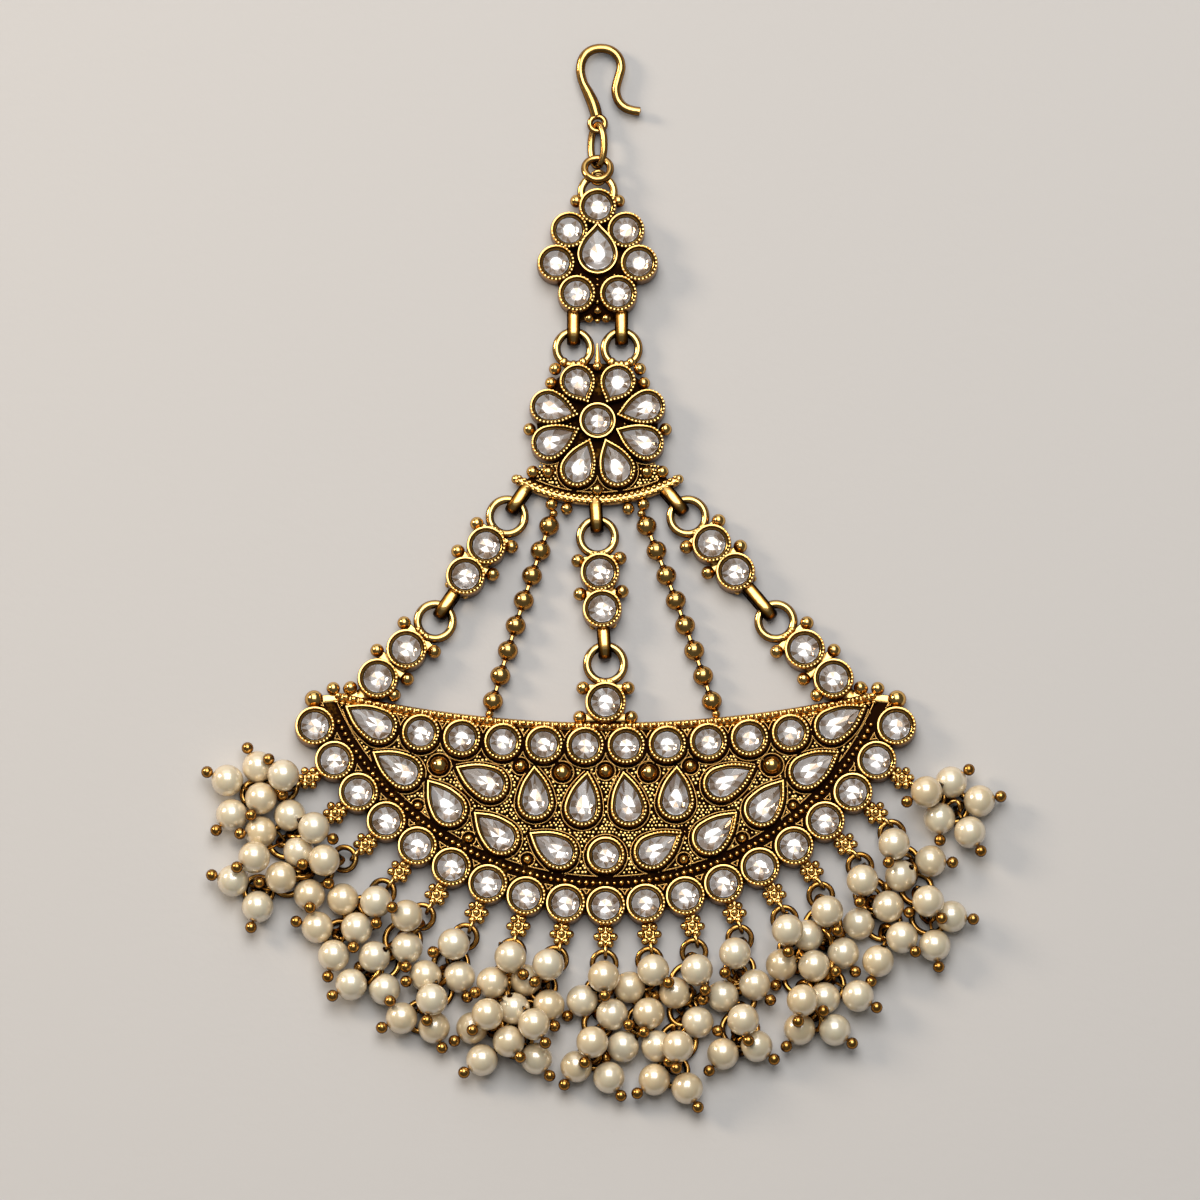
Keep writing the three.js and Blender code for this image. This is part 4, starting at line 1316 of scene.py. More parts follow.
@dataclass
class Rosette:
    """The middle casting: eight pears about a round stone, over an arched bar.

    A petal is its direction in degrees from straight up and its belly's distance from the middle.
    A grain is x, y, height and radius.
    """

    collet: float = 2.36
    belly: float = 2.26
    tip_radius: float = 2.4
    petals: tuple[tuple[float, float], ...] = ((27, 5.6), (74, 6.5), (115, 6.7), (158, 6.7))
    ring_x: float = 3.0
    ring_y: float = 9.4
    ring_mid: float = 2.14
    ring_wire: float = 1.08
    bar_height: float = 1.1
    bar_size: tuple[float, float] = (0.62, 0.92)
    eye_stem: float = 2.4
    arch: Arch = Arch((float(ROSETTE[0]), float(ROSETTE[1]) - 9.95), 20.5, 9.9)
    grains: tuple[tuple[float, float, float, float], ...] = (
        (0, 6.95, 2.1, 0.62), (0, -8.65, 2.0, 0.72), (5.3, 6.75, 1.6, 0.8), (5.8, 4.95, 1.6, 0.8),
        (8.5, -0.92, 1.5, 0.82), (8.1, -6.35, 1.6, 0.82), (6.15, -6.4, 1.9, 0.78),
        (5.75, -10.45, 1.4, 0.78), (3.85, -11.0, 1.4, 0.78), (0.75, 1.9, 1.5, 0.2),
        (1.5, 4.3, 1.6, 0.17), (1.75, 2.9, 1.5, 0.17), (3.1, 1.5, 1.5, 0.17), (3.4, -0.2, 1.5, 0.2),
        (2.9, -1.9, 1.5, 0.17), (1.5, -3.4, 1.5, 0.17), (4.3, 3.4, 1.5, 0.2),
    )

    def settings(self) -> list[Setting]:
        """The round setting first, then the petals.

        Returns:
            The nine settings.
        """
        made = [Setting(ROSETTE, self.collet, Rim.PLAIN)]
        for side in Side:
            for turn, radius in self.petals:
                way = heading(180 - side.value * turn)
                belly, tip = ROSETTE + way * radius, ROSETTE + way * self.tip_radius
                made.append(Setting(belly, self.belly, tip=tip))
        return made

    def ground(self) -> list[Shape]:
        """The round plate behind the petals, and the apron between them and the bar.

        Returns:
            The plate and the apron.
        """
        plate = lofted(circle(7.6, 40, ROSETTE), ROSETTE, [
            (0.98, 0.02, 0.1), (1, 0.12, 0.2), (1, 1.15, 0.2), (0.98, PLATE, 0.0)])
        across = np.linspace(6.6, -6.6, 14)
        upper = np.stack([across, -4.9 - 0.013 * across**2], -1) + ROSETTE
        outline = np.concatenate([self.arch.line(-0.2, 24, 0.94), upper])
        apron = lofted(outline, ROSETTE - [0, 8.4], [
            (0.99, 0.02, 0.1), (1, 0.12, 0.2), (1, 1.25, 0.2), (0.98, 1.4, 0.0)])
        return [plate, apron]

    def bar(self) -> list[Shape]:
        """The bar, its two rows of beads and its end knobs.

        Returns:
            The bar's parts.
        """
        rows = [spaced(self.arch.line(offset, 60), 29) for offset in (0.31, -0.33)]
        knobs = [(*end, 1.45, 0.62) for end in self.arch.line(0, 2, 1.03)]
        return [
            rail(self.arch.line(0, 40), self.bar_height, self.bar_size),
            *(bead_row(row, 1.95, (0.36, 0.315, 0.34)) for row in rows), beads(knobs),
        ]

    def spike(self) -> Shape:
        """The tapered spike between the two rings."""
        path = np.array([[*(ROSETTE + [0, y]), 1.4] for y in np.linspace(6.6, 10.0, 12)])
        return swept(path, wire_section(0.62, 12), taper=np.linspace(1, 0, 12) ** 1.4 * 0.9 + 0.16)

    def ring_at(self, side: Side) -> Array:
        """The middle of the ring on one side."""
        return ROSETTE + [side.value * self.ring_x, self.ring_y]

    def wraps(self) -> Shape:
        """The three short bands that seat each ring on its petal.

        Returns:
            The six bands.
        """
        round_ = heading(np.array([-35, 0, 35]))
        rows = np.concatenate([self.ring_at(side) + self.ring_mid * round_ for side in Side])
        ways = np.tile(np.stack([-round_[:, 1], round_[:, 0]], -1), (2, 1))
        return stamped(BEAD_FINE, raised(rows, 1.72), along(ways, (0.5, 0.62, 0.32)))

    def build(self, bench: Bench, links: "list[Connector]") -> None:
        """Makes the casting, its granulation and its stones.

        Args:
            bench: where pieces are finished.
            links: the connectors that hang below it, from left to right.
        """
        settings = self.settings()
        grains = beads(mirrored(self.grains), ROSETTE)
        shapes = [*self.ground(), *self.bar(), grains, self.spike(), self.wraps()]
        shapes += set_gold(settings)
        shapes += [ring(self.ring_at(s), self.ring_mid, self.ring_wire, square=2.1) for s in Side]
        for link in links:
            eye = link.run.place(-link.ring_mid)
            shapes.append(strap(eye, 1.03, self.eye_stem, link.run.turn))
        bench.gold("rosette_casting", shapes, ["rosette"])
        stones = ["rosette_stone_round"] + [f"rosette_stone_pear_{k}" for k in range(1, 9)]
        bench.crystals("rosette_crystals", settings, stones)
        middle, radius = self.arch.middle, self.arch.radius
        ground = Ground([(*ROSETTE, self.collet)], [s.outline for s in settings[1:]],
                        [(*middle, radius, self.bar_size[0])], self.on_apron)
        filling = ground.filling(ROSETTE + [-8.2, -11.5], ROSETTE + [8.2, -4.5], 11)
        bench.gold("rosette_granulation", [ground.frames(), filling], ["rosette"], Metal.GRAINED)

    def on_apron(self, at: Array) -> Array:
        """Which points lie above the bar, below the petals and within the bar's ends.

        Args:
            at: the points.

        Returns:
            True for each point that does.
        """
        x, y = (at - ROSETTE).T
        above = np.hypot(*(at - self.arch.middle).T) < self.arch.radius
        return above & (y < -5.2) & (np.abs(x) < 7.6)


@dataclass(frozen=True)
class Run:
    """A straight line down the piece, turned by some degrees from straight down."""

    top: tuple[float, float]
    turn: float

    def place(self, down: float, across: float = 0.0) -> Array:
        """A point down the line and across it."""
        way = heading(self.turn)
        return np.array(self.top) + way * down + np.array([-way[1], way[0]]) * across

    def bar(self, down: float, half: float, width: float = 1.2) -> Shape:
        """A straight bar across the line."""
        return bar(self.place(down, -half), self.place(down, half), width)

    def seam(self, down: float) -> Shape:
        """The solder where a ring meets its first setting, as three small balls."""
        return beads([(*self.place(down, k), 1.5, 0.4) for k in (-0.75, 0.0, 0.75)])


@dataclass
class Connector:
    """Two round settings in a row below a ring, from the rosette to the crescent."""

    name: str
    run: Run
    span: float
    eye_wire: float
    ring_mid: float = 2.2
    ring_wire: float = 1.06
    pitch: float = 4.65
    across: float = 2.62
    collet: float = 2.48

    @classmethod
    def between(
        cls, name: str, top: Array, low: tuple[float, float], mid: float, wire: float
    ) -> "Connector":
        """A connector from an eye under the rosette to a ring above the crescent.

        Args:
            name: its name.
            top: the middle of its own ring.
            low: the middle of the ring that it holds.
            mid: that ring's radius.
            wire: that ring's thickness.

        Returns:
            The connector.
        """
        dx, dy = low[0] - top[0], low[1] - top[1]
        turn = math.degrees(math.atan2(dx, -dy))
        return cls(name, Run(tuple(top), turn), math.hypot(dx, dy) - mid, wire)

    def build(self, bench: Bench) -> None:
        """Makes the casting and its two stones.

        Args:
            bench: where pieces are finished.
        """
        run, levels = self.run, (0.62 * self.pitch, 1.53 * self.pitch)
        settings = [Setting(run.place(k * self.pitch), self.collet, Rim.WORN) for k in (1, 2)]
        rows = [(*run.place(d, s.value * self.across), 1.55, 0.87) for d in levels for s in Side]
        rows += [(*run.place(2.42 * self.pitch, s.value * 1.25), 1.4, 0.45) for s in Side]
        bench.gold(self.name + "_casting", [
            ring(run.place(0), self.ring_mid, self.ring_wire, square=2.1), beads(rows),
            *(run.bar(down, 2.2) for down in levels),
            bar(run.place(2.2), run.place(2.5 * self.pitch), 1.7),
            strap(run.place(self.span), self.eye_wire, self.span - 2.4 * self.pitch, run.turn),
            run.seam(self.ring_mid), *set_gold(settings),
        ], [self.name])
        stones = [f"{self.name}_stone_{k}" for k in (1, 2)]
        bench.crystals(self.name + "_crystals", settings, stones)


def connectors() -> list[Connector]:
    """The three connectors.

    Returns:
        The connectors, from left to right.
    """
    left, right = ROSETTE + [-11.3, -12.0], ROSETTE + [11.3, -12.0]
    return [
        Connector.between("connector_left", left, (-21.3, -4.2), 2.2, 1.05),
        Connector.between("connector_center", ROSETTE - [0, 14.6], (0.0, -9.6), 2.3, 1.08),
        Connector.between("connector_right", right, (21.3, -4.2), 2.2, 1.05),
    ]


@dataclass
class BallChain:
    """A short string of balls on wire links, between the rosette and the crescent."""

    side: Side
    balls: int = 8
    size: float = 1.28
    wire: float = 0.3
    bow: float = 0.5

    def line(self) -> Array:
        """The string's line: start, middles of the balls, and end, on a gently bowed quadratic.

        Returns:
            The line's points.
        """
        s = self.side.value
        start = np.array([ROSETTE[0] + s * 5.5, ROSETTE[1] - 11.6, self.size])
        end = np.array([s * 14.5 - (0.7 if s > 0 else 0), -15.9, self.size])
        bend = (start + end) / 2 + [s * self.bow, 0, 0]
        t = np.linspace(0, 1, 200)[:, None]
        bowed = (1 - t) ** 2 * start + 2 * t * (1 - t) * bend + t**2 * end
        return spaced(bowed, 2 * self.balls + 1)

    def build(self, bench: Bench) -> None:
        """Makes the balls, their collars and the wire.

        Args:
            bench: where pieces are finished.
        """
        line = self.line()
        centres, ways = line[1::2], unit(line[2::2] - line[:-2:2])
        form = ball(24, 13, low=0.1)
        globe = stamped(form, centres, poled(ways, self.size) * [1, 1, 0.97])
        # Painted shade and highlight: each ball's tone rises with its height, dark underneath, with
        # the patina.
        lift = (globe.points - np.repeat(centres, len(form.points), 0))[:, 2] / self.size
        globe.polish = 0.06 + 0.94 * np.clip(0.12 + 1.2 * lift, 0, 1)
        lips = np.concatenate([centres + s * ways * self.size * 0.95 for s in (-1, 1)])
        collars = stamped(GRAIN, lips, poled(np.concatenate([ways, ways]), 0.52) * [1, 1, 0.45])
        string = swept(line, wire_section(self.wire, 8))
        loops = stamped(BEAD_FINE, line[[0, -1]], 0.55)
        name = f"ball_chain_{self.side.name.lower()}"
        bench.gold(name + "_string", [globe, collars, string, loops], [name], Metal.WIRE)


@dataclass
class Crescent:
    """The great crescent with its rows of stones, its granulated ground and the links above it.

    A pear is its tip's x and y and its belly's, on the right half. A ball is x, y and radius.
    """

    arc: float = 40.35
    step: float = 7.12
    outer: float = 2.5
    pear: float = 2.3
    collet: float = 2.4
    edge: Arch = Arch((0.0, -17.6), 148.0, 33.4)
    horn: tuple[float, float] = (36.6, -13.7)
    row_pitch: float = 5.13
    row_y: float = -20.15
    row_radius: float = 163.0
    channel: float = 37.4
    cap: float = 44.15
    eye: float = 45.9
    heart_ball: float = 0.86
    pears: tuple[tuple[float, float, float, float], ...] = (
        (32.6, -15.1, 28.25, -17.7), (29.2, -20.9, 25.05, -23.5), (22.3, -24.4, 19.5, -28.2),
        (18.8, -22.8, 14.4, -25.0), (8.9, -22.6, 8.75, -27.3), (2.2, -23.3, 2.9, -28.1),
        (16.5, -28.5, 13.0, -31.8), (9.6, -31.1, 5.75, -33.6),
    )
    worn_pears: tuple[int, ...] = (2, 6)
    balls: tuple[tuple[float, float, float], ...] = (
        (20.75, -22.5, 1.15), (10.6, -22.6, 0.78), (5.4, -23.4, 1.08), (23.4, -27.6, 0.52),
        (17.05, -31.75, 0.56), (9.75, -34.4, 0.56),
    )

    def turns(self) -> Array:
        """The directions of the nineteen outer settings, in degrees from straight down."""
        return (np.arange(19) - 9) * self.step

    def settings(self) -> dict[str, list[Setting]]:
        """The settings of the crescent itself.

        Returns:
            The settings by row.
        """
        outer = [Setting(self.arc * heading(t), self.outer, Rim.WORN) for t in self.turns()]
        xs = (np.arange(10) - 4.5) * self.row_pitch
        ys = self.row_y + xs**2 / (2 * self.row_radius)
        top = [Setting(np.array([x, y]), self.collet) for x, y in zip(xs, ys)]
        pears = []
        for side in Side:
            for k, row in enumerate(self.pears):
                tip, belly = np.array(row).reshape(2, 2) * [side.value, 1]
                rim = Rim.WORN if k in self.worn_pears else Rim.BEADED
                pears.append(Setting(belly, self.pear, rim, tip))
        lowest = Setting(np.array([0, -34.0]), self.collet, Rim.WORN)
        return {"outer": outer, "top": top, "field": [*pears, lowest]}

    def plate(self) -> Shape:
        """The ground, as sections from the outer arc to the top edge, carried from horn to horn.

        Section k runs up the outer edge at the k-th point of the arc, across the top to the k-th
        point of the upper edge, and back along the flat back.

        Returns:
            The plate.
        """
        steps = 120
        lower = 41.2 * heading(np.linspace(-66, 66, steps))
        left, right = [-self.horn[0], self.horn[1]], list(self.horn)
        upper = spaced(np.concatenate([[left], self.edge.line(0, 60), [right]]), steps)
        shares, heights, tones = np.array([
            (0.012, 0.02, 0.1), (0, 0.12, 0.25), (0, 1.15, 0.3), (0.012, 1.28, 0.05),
            (0.25, PLATE, 0), (0.5, PLATE, 0), (0.75, PLATE, 0), (0.985, PLATE, 0),
            (1.0, 1.2, 0.2), (1.0, 0.12, 0.2), (0.99, 0.02, 0.1),
        ]).T
        flat = lower[:, None] + shares[None, :, None] * (upper - lower)[:, None]
        rings = np.concatenate([flat, np.broadcast_to(heights, flat.shape[:2])[..., None]], -1)
        tone = np.broadcast_to(tones, flat.shape[:2])
        return skin(rings, tone, rings[[0, -1]].mean(1), (0.2, 0.2))

    def top_edge(self) -> list[Shape]:
        """The bar along the top, its row of long beads, and a second row near the horns.

        Returns:
            The edge's parts.
        """
        inner = spaced(self.edge.line(0.72, 400), 92)
        return [
            rail(self.edge.line(0, 90), 1.0, (0.6, 0.82), square=3.2),
            bead_row(spaced(self.edge.line(-0.1, 400), 67), 1.75, (0.5, 0.44, 0.5), ball(12, 7)),
            bead_row(inner[np.abs(inner[:, 0]) > 13.5], 1.62, (0.38, 0.25, 0.32)),
        ]

    def channel_beads(self) -> Shape:
        """The row of seed-like beads in the dark channel inside the outer settings.

        Returns:
            The beads, each of a size of its own.
        """
        turn = np.arange(-63.0, 63.1, math.degrees(0.88 / self.channel))
        spots = self.channel * heading(turn)
        sizes = np.random.default_rng(5).uniform(0.8, 1.15, len(spots))
        bases = along(spots, (0.38, 0.32, 0.42)) * sizes[:, None, None]
        return stamped(BEAD_FINE, raised(spots, 1.6), bases)

    def ball_places(self) -> list[tuple[float, float, float]]:
        """The balls set among the pears, as x, y and radius, with the middle one last."""
        rows = [(side.value * x, y, r) for x, y, r in self.balls for side in Side]
        return rows + [(0, -23.2, self.heart_ball)]

    def caps(self) -> list[Shape]:
        """The flower under each outer setting but the two at the ends.

        Returns:
            For each, seven small balls, the bar behind them and an upright eye.
        """
        shapes = []
        for turn in self.turns()[1:-1]:
            way = heading(turn)
            petals = circle(1.04, 6, self.cap * way)
            shapes += [
                beads([(*(self.cap * way), 1.9, 0.48)] + [(*p, 1.55, 0.52) for p in petals]),
                bar(42.6 * way, 45.0 * way, 1.5, 0.75),
                ring(self.eye * way, 0.85, 0.5, tilt=90, axis=turn - 90, sides=20),
            ]
        return shapes

    def shoulder(self, side: Side) -> tuple[list[Shape], list[Setting]]:
        """A ring, two settings and their beads on one shoulder of the crescent.

        Args:
            side: which shoulder.

        Returns:
            The parts of gold, and the settings.
        """
        s = side.value
        run, levels = Run((s * 21.3, -4.2), s * 44.0), (2.85, 7.7)
        settings = [Setting(run.place(k * 5.15), 2.56, Rim.WORN) for k in (1, 2)]
        rows = [(*run.place(down, a * 2.62), 1.6, 0.86) for down in levels for a in (-1, 1)]
        rows += [(*run.place(10.3, -s * 2.85), 1.6, 0.86), (*run.place(13.4, s * 1.7), 1.6, 0.86)]
        rows += [(s * 34.0, -12.75, 1.5, 0.86), (s * 36.4, -14.1, 1.4, 1.18)]
        rows += [(s * 32.1, -12.75, 1.5, 0.72)]
        return [
            ring(run.place(0), 2.2, 1.08, square=2.1), beads(rows),
            *(run.bar(down, 2.3) for down in levels), bar(run.place(2.2), run.place(14), 2.0),
            run.seam(2.2), bar(np.array([s * 31, -13.6]), np.array([s * 36.2, -14.2]), 1.2),
        ], settings

    def centre_link(self) -> tuple[list[Shape], list[Setting]]:
        """The ring, the setting and the beads above the middle of the crescent.

        Returns:
            The parts of gold, and the setting.
        """
        run = Run((0.0, -9.6), 0.0)
        rows = [(s.value * x, y, 1.6, 0.86) for x, y in ((2.8, -12.7), (3.2, -16.4)) for s in Side]
        return [
            ring(run.place(0), 2.3, 1.1, square=2.1), beads(rows), run.bar(3.1, 2.5),
            run.bar(6.8, 2.9), bar(run.place(2.3), run.place(7.4), 2.2), run.seam(2.3),
        ], [Setting(run.place(5.0), 2.58, Rim.WORN)]

    def on_field(self, at: Array) -> Array:
        """Which points lie on the casting: under the top edge and inside the outer arc."""
        high = np.hypot(*(at - self.edge.middle).T) > self.edge.radius + 0.6
        return high & (np.hypot(*at.T) < 40.9) & (np.abs(at[:, 0]) < 35.6)

    def build(self, bench: Bench) -> None:
        """Makes the casting in its parts, its granulation and all its stones.

        Args:
            bench: where pieces are finished.
        """
        rows, balls = self.settings(), self.ball_places()
        links = [self.shoulder(side) for side in Side] + [self.centre_link()]
        hung = [s for _, settings in links for s in settings]
        field_balls = beads([(x, y, 1.75 if r > 0.7 else 1.6, r) for x, y, r in balls])
        parts = {"plate": [self.plate(), *self.top_edge(), self.channel_beads(), field_balls]}
        parts |= {f"{row}_settings": set_gold(rows[row]) for row in ("outer", "top", "field")}
        parts["shoulders"] = [s for made, _ in links for s in made] + set_gold(hung)
        parts["flower_caps"] = self.caps()
        for name, shapes in parts.items():
            bench.gold("crescent_" + name, shapes, ["crescent"])
        bench.crystals("crescent_outer_crystals", rows["outer"], ["crescent"])
        inner = rows["top"] + rows["field"] + hung
        bench.crystals("crescent_field_crystals", inner, ["crescent"])
        circles = [(*s.middle, s.size) for s in rows["outer"] + rows["top"] + rows["field"][-1:]]
        pears = [s.outline for s in rows["field"][:-1]]
        ground = Ground(circles + balls, pears, [(0, 0, self.channel, 0.5)], self.on_field)
        filling = ground.filling(np.array([-36.0, -41.0]), np.array([36.0, -12.0]), 3)
        bench.gold("crescent_granulation", [ground.frames(), filling], ["crescent"], Metal.GRAINED)


# ---------------------------------------------------------------- pearls


@dataclass
class PearlClusters:
    """Seventeen clusters of pearls on head pins, each on a thread of jump rings below a cap.

    A row of rows is a thread's lean in degrees, its length and its number of pearls. A row of
    hanging is a pearl's share of the thread's length, its place across it and its height.
    """

    crescent: Crescent
    size: float = 2.0
    gap: float = 0.22
    pin: float = 0.3
    thread: float = 0.3
    start: float = 2.7
    landing: float = 4.6
    low: float = 0.45
    short: float = 2.6
    bare_end: float = 2.09
    inner: float = 45.1
    rounds: int = 320
    share: float = 0.45
    pull: float = 0.012
    head: float = 0.76
    head_out: float = 0.74
    head_room: float = 0.02
    drill: float = 0.9
    rows: tuple[tuple[float, float, int], ...] = (
        (-80, 8.0, 5), (-64, 8.0, 5), (-70, 15.3, 5), (-44, 11.8, 5), (-40, 13.2, 5),
        (-29, 14.3, 6), (-13, 13.5, 6), (-25, 14.8, 6), (-6, 15.9, 6), (-8, 12.2, 5),
        (-10, 18.7, 6), (0, 16.2, 6), (16, 16.5, 6), (4, 14.6, 5), (22, 13.5, 5), (24, 15.4, 6),
        (62, 8.3, 5),
    )
    hanging: tuple[tuple[tuple[float, float, float], ...], ...] = (
        ((0.28, 0.6, 4.2), (0.52, -2.0, 2.0), (0.62, 2.0, 2.0), (0.9, -2.1, 2.0), (1.0, 2.1, 2.4)),
        ((0.24, -0.6, 4.2), (0.45, 2.0, 2.0), (0.55, -2.0, 2.0), (0.76, 0.4, 4.6), (0.94, 2.1, 2.0),
         (1.0, -2.1, 2.0)),
    )
    turns: Array = field(init=False)
    runs: list[Run] = field(init=False)
    cluster: Array = field(init=False)
    hooks: Array = field(init=False)
    centres: Array = field(init=False)

    def __post_init__(self) -> None:
        """Works out where every pearl comes to rest."""
        self.turns = self.crescent.turns()[1:-1]
        anchors = self.crescent.eye * heading(self.turns)
        self.runs = [Run(tuple(top), row[0]) for top, row in zip(anchors, self.rows)]
        cluster, starts, hooks = [], [], []
        for k, (_, reach, count) in enumerate(self.rows):
            way = 1 if k % 2 else -1
            for share, across, z in self.hanging[count - 5]:
                starts.append([*self.runs[k].place(share * reach, across * way), z])
                held = min(max(share * reach - 1.6, self.start), reach - self.short)
                hooks.append(self.on_thread(k, held))
                cluster.append(k)
        self.cluster, self.hooks = np.array(cluster), np.array(hooks)
        self.centres = self.settle(np.array(starts))

    def on_thread(self, k: int, down: float) -> Array:
        """A point of a cluster's thread, which comes down from its cap and then lies straight."""
        fall = min(max((down - self.start) / (self.landing - self.start), 0.0), 1.0)
        return np.append(self.runs[k].place(down), LINK + (self.low - LINK) * fall)

    def stops(self) -> tuple[Array, Array]:
        """Small balls that stand for what the pearls lie against: caps, eyes, rings and threads.

        Returns:
            Their middles and their radii.
        """
        spots: list[tuple[float, ...]] = []
        for k, turn in enumerate(self.turns):
            spots.append((*(43.75 * heading(turn)), 0.8, 1.5))
            spots.append((*self.runs[k].top, LINK, 1.1))
            spots += [(*at, LINK, 0.25) for at in circle(1.35, 6, self.runs[k].place(1.35))]
            for down in np.arange(self.start, self.rows[k][1] - self.bare_end):
                spots.append((*self.on_thread(k, down), self.thread))
        table = np.array(spots)
        return table[:, :3], table[:, 3]

    def settle(self, starts: Array) -> Array:
        """Pushes the pearls apart, off the pins and off what they lie on, a little in each round.

        In each round a pearl moves by a share of every overlap, away from it, and is drawn a little
        back to where it started. It stays outside the crescent's edge and above the surface.

        Args:
            starts: where the pearls start.

        Returns:
            Where they come to rest.
        """
        fixed, radii = self.stops()
        places = starts.copy()

        def push(gaps: Array, clearance: Array | float, skip: bool) -> Array:
            """The sum of the pushes along some gaps.

            Args:
                gaps: the way to each pearl from each other thing.
                clearance: how far apart they should be.
                skip: whether the other things are the pearls' own, so that one is its own.

            Returns:
                One push for each pearl.
            """
            distance = np.maximum(np.linalg.norm(gaps, axis=-1), 1e-9)
            depth = np.maximum(clearance - distance, 0)
            if skip:
                np.fill_diagonal(depth, 0)
            return (gaps * (self.share * depth / distance)[..., None]).sum(1)

        for k in range(self.rounds):
            pins = places - self.hooks
            gaps = places[:, None] - self.hooks[None]
            t = np.clip((gaps * pins[None]).sum(-1) / (pins**2).sum(-1)[None], 0, 1)
            move = push(places[:, None] - places[None], 2 * self.size + self.gap, True)
            move += push(gaps - t[..., None] * pins[None], self.size + self.pin + self.gap, True)
            move += push(places[:, None] - fixed[None], self.size + radii[None] + self.gap, False)
            if k <= 0.75 * self.rounds:
                move += self.pull * (starts - places)
            places = places + move
            out = np.hypot(places[:, 0], places[:, 1])
            places[:, :2] *= np.maximum(self.inner / out, 1)[:, None]
            places[:, 2] = np.maximum(places[:, 2], self.size)
        return places

    def shortfall(self, k: int, tip: Array, tips: list[Array]) -> float:
        """How much room the ball at a pin's far end lacks.

        Args:
            k: the pearl's number.
            tip: the ball's middle.
            tips: the middles of the balls before it.

        Returns:
            What it lacks to the other pearls and balls, to the surface and to the crescent.
        """
        others = np.delete(self.centres, k, 0)
        room = np.linalg.norm(others - tip, axis=1).min() - self.size - self.head
        if tips:
            nearest = np.linalg.norm(np.array(tips) - tip, axis=1).min()
            room = min(room, nearest - 2 * self.head - self.head_room)
        low, near = self.head + self.head_room - tip[2], self.inner + 1.1 - math.hypot(*tip[:2])
        return max(0.0, -room) + max(0.0, low) + max(0.0, near)

    def axes(self) -> Array:
        """Each pearl's pin direction through it, turned until the ball at its far end is clear.

        The straight way from its hook comes first, then ways turned from it in growing steps, and
        the one that turns least and lacks least room is taken.

        Returns:
            One direction for each pearl.
        """
        chosen, tips = [], []
        swings = (0, 25, -25, 50, -50, 80, -80, 110, -110)
        for k, way in enumerate(unit(self.centres - self.hooks)):
            flat = math.atan2(way[1], way[0])
            best, cost = way, math.inf
            for swing, rise in ((s, r) for s in swings for r in (0, 20, -20, 45, -40, 70)):
                a, e = flat + math.radians(swing), math.radians(rise)
                level = math.cos(e)
                trial = np.array([math.cos(a) * level, math.sin(a) * level, math.sin(e)])
                tip = self.centres[k] + trial * (self.size + self.head_out)
                score = abs(swing) / 100 + abs(rise) / 90 + 8 * self.shortfall(k, tip, tips)
                if score < cost:
                    best, cost = trial, score
            chosen.append(best)
            tips.append(self.centres[k] + best * (self.size + self.head_out))
        return np.array(chosen)

    def pearl(self) -> Shape:
        """One pearl of radius 1, a ball whose two poles are sunk into drill holes.

        Returns:
            The pearl, with a polish that says how deep its colour is.
        """
        form = ball(26, 14)
        form.points[-2:] *= 0.94
        form.polish[:-2], form.polish[-2:] = 0.5, 0.1
        return form

    def threads(self, k: int) -> list[Shape]:
        """A cluster's run of jump rings, each turned across the one before.

        Args:
            k: the cluster's number.

        Returns:
            The rings, from the cap down.
        """
        lean, reach, _ = self.rows[k]
        first = self.runs[k].place(1.55)
        shapes = [ring(first, 1.46, 0.74, z=1.3, tilt=12, axis=lean, sides=30)]
        draw = np.random.default_rng(40 + k)
        for n, down in enumerate(np.arange(3.4, reach - 1.2, 1.9)):
            sizes, tilts = ((1.6, 2.2), (-9, 9)) if n % 2 else ((1.15, 1.45), (48, 66))
            size, tilt = float(draw.uniform(*sizes)), float(draw.uniform(*tilts))
            z = 0.42 + size * abs(math.sin(math.radians(tilt)))
            axis = lean - 90 + float(draw.uniform(-25, 25))
            at = self.runs[k].place(float(down))
            shapes.append(ring(at, size, 0.78, z=z, tilt=tilt, axis=axis, sides=28))
        return shapes

    def head_pin(self, hook: Array, centre: Array, axis: Array) -> list[Shape]:
        """A pin: a small loop at its hook, a stem that bends into the pearl, and a ball beyond it.

        The stem is a cubic from the hook to the near drill hole, which it enters along the axis.

        Args:
            hook: the point that it hangs on.
            centre: the pearl's middle.
            axis: the direction of the pin through the pearl.

        Returns:
            The pin's parts.
        """
        enter, leave = (centre + s * axis * (self.size * self.drill) for s in (-1, 1))
        lift = hook + [0, 0, 0.35]
        gap = float(np.linalg.norm(enter - hook))
        first = lift + unit(enter - lift) * gap * 0.3 + [0, 0, 0.25]
        stem = cubic([lift, first, enter - axis * gap * 0.35, enter], 9)
        far = np.array([leave, centre + axis * (self.size + 0.45)])
        up = (0.3, 0.2, 0.93) if abs(axis[2]) < 0.8 else (0.9, 0.3, 0.1)
        way = math.degrees(math.atan2(axis[1], axis[0]))
        tip = centre + axis * (self.size + self.head_out)
        cap = centre - axis * (self.size + 0.02)
        return [
            *(swept(line, wire_section(0.2, 6), up) for line in (stem, far)),
            ring(lift[:2], 1.0, 0.52, z=float(lift[2]) + 0.5, tilt=50, axis=way, sides=20),
            stamped(ball(14, 8), tip[None], self.head),
            stamped(GRAIN, cap[None], poled(axis[None], 0.42) * [1, 1, 0.4]),
        ]

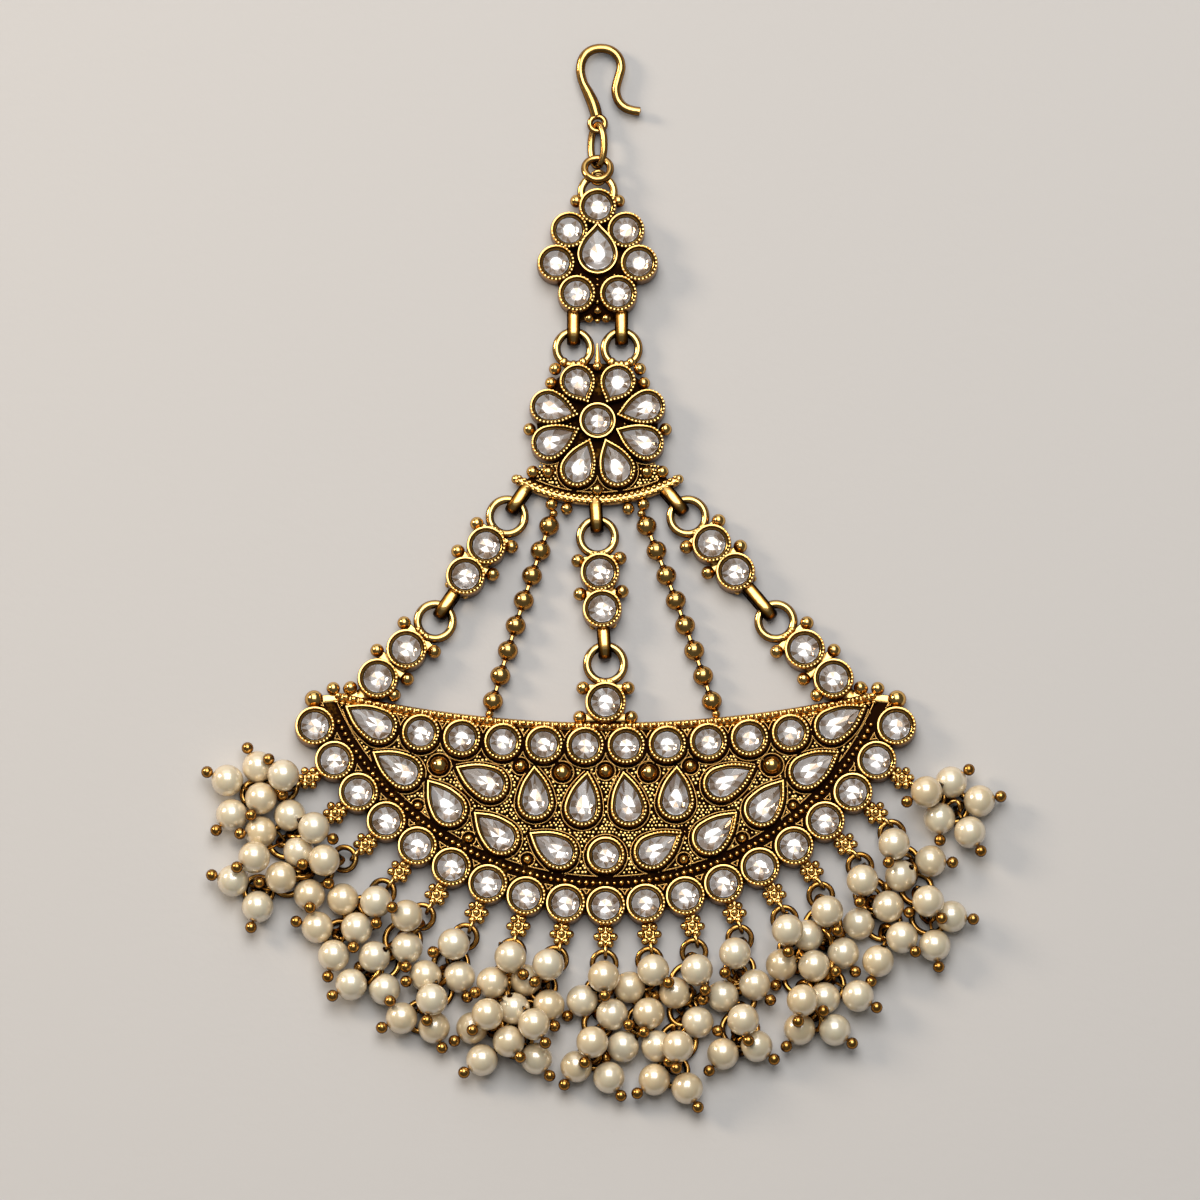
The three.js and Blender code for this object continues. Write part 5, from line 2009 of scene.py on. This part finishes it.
    def build(self, bench: Bench) -> None:
        """Makes each cluster's pearls and its metal.

        Args:
            bench: where pieces are finished.
        """
        axes, form = self.axes(), self.pearl()
        draw = np.random.default_rng(9)
        for k in range(len(self.rows)):
            mine = np.flatnonzero(self.cluster == k)
            name = f"pearl_cluster_{k + 1:02d}"
            pearls = stamped(form, self.centres[mine], poled(axes[mine], self.size))
            pearls.polish += np.repeat(draw.uniform(-0.25, 0.25, len(mine)), len(form.points))
            bench.finish(name + "_pearls", [pearls], bench.pearl, Slot.PEARL, [name])
            metal = self.threads(k)
            for i in mine:
                metal += self.head_pin(self.hooks[i], self.centres[i], axes[i])
            bench.gold(name + "_wires", metal, [name], Metal.DARK_WIRE)


# ---------------------------------------------------------------- studio


@dataclass(frozen=True)
class Lamp:
    """A square soft light: its place and side in metres, its strength in watts and its colour."""

    name: str
    place: tuple[float, float, float]
    size: float
    power: float
    colour: Colour


@dataclass
class Studio:
    """A pale floor, soft light from the upper left and the camera."""

    floor_size: float = 4.0
    floor_drop: float = 0.00001
    floor_colour: Colour = (0.66, 0.652, 0.648)
    surround: Colour = (0.98, 0.95, 0.92)
    surround_strength: float = 0.09
    lens: float = 600.0
    distance: float = 2.5
    elevation: float = 80.0
    aim: tuple[float, float, float] = (-0.69, -1.5, 1.5)
    lamps: tuple[Lamp, ...] = (
        Lamp("key", (-0.80, 0.36, 0.46), 0.26, 4.2, (1.0, 0.82, 0.62)),
        Lamp("top", (0.0, 0.36, 0.96), 0.78, 7.2, (1.0, 0.975, 0.94)),
        Lamp("ceiling", (0.0, 0.14, 1.1), 1.1, 0.7, (1.0, 0.99, 0.98)),
        Lamp("sky", (-0.15, 0.84, 0.62), 0.9, 2.4, (1.0, 0.99, 0.99)),
    )

    def put(self, name: str, data: bpy.types.ID) -> bpy.types.Object:
        """A new object in the scene.

        Args:
            name: its name.
            data: its mesh, light or camera.

        Returns:
            The object.
        """
        made = bpy.data.objects.new(name, data)
        bpy.context.scene.collection.objects.link(made)
        return made

    def point(self, thing: bpy.types.Object, place: Array, way: Array) -> None:
        """Stands a light or the camera at a place, and turns it to face a way."""
        thing.location = place
        thing.rotation_euler = Vector(way).to_track_quat("-Z", "Y").to_euler()

    def floor(self) -> None:
        """The pale floor, with a faint tooth."""
        corners = np.array([(-1, -1), (1, -1), (1, 1), (-1, 1)]) * self.floor_size / 2
        mesh = bpy.data.meshes.new("floor")
        mesh.from_pydata(raised(corners, -self.floor_drop), [], [(0, 1, 2, 3)])
        material, tree = started("pale floor")
        bump = node(tree, "Bump", {
            "Strength": 0.12, "Distance": 0.0002, "Height": clouds(tree, 900.0)})
        shaded(tree, {"Base Color": (*self.floor_colour, 1), "Roughness": 0.85,
                      "Normal": bump.outputs["Normal"]})
        mesh.materials.append(material)
        self.put("floor", mesh)

    def lights(self) -> None:
        """The key from the upper left, broad lights above and behind, and a dim warm surround."""
        for lamp in self.lamps:
            data = bpy.data.lights.new(lamp.name, "AREA")
            data.size, data.energy, data.color = lamp.size, lamp.power, lamp.colour
            made = self.put(lamp.name, data)
            self.point(made, lamp.place, -np.array(lamp.place))
            made.visible_camera = False
        world = bpy.data.worlds.new("surround")
        bpy.context.scene.world = world
        world.use_nodes = True
        sky = world.node_tree.nodes["Background"]
        sky.inputs["Color"].default_value = (*self.surround, 1)
        sky.inputs["Strength"].default_value = self.surround_strength
        bpy.context.scene.view_settings.view_transform = "Standard"

    def camera(self, shift: Array) -> None:
        """A long lens from nearly overhead, a little towards the pearls.

        Args:
            shift: the move from the layout onto the frame, in millimetres.
        """
        lens = bpy.data.cameras.new("camera")
        lens.lens, lens.sensor_width = self.lens, 36.0
        made = self.put("camera", lens)
        tilt = math.radians(self.elevation)
        back = np.array([0, -math.cos(tilt), math.sin(tilt)])
        self.point(made, (np.array(self.aim) + shift) / 1000 + back * self.distance, -back)
        bpy.context.scene.camera = made


def main() -> None:
    """Builds every sub-assembly, the stage, the lights and the camera."""
    logging.basicConfig(level=logging.INFO, format="%(message)s")
    bench, links, crescent = Bench(to_frame()), connectors(), Crescent()
    Hook().build(bench)
    Crown().build(bench)
    Rosette().build(bench, links)
    for part in [*links, *(BallChain(side) for side in Side), crescent, PearlClusters(crescent)]:
        part.build(bench)
    studio = Studio()
    studio.floor()
    studio.lights()
    studio.camera(bench.shift)


if __name__ == "__main__":
    main()
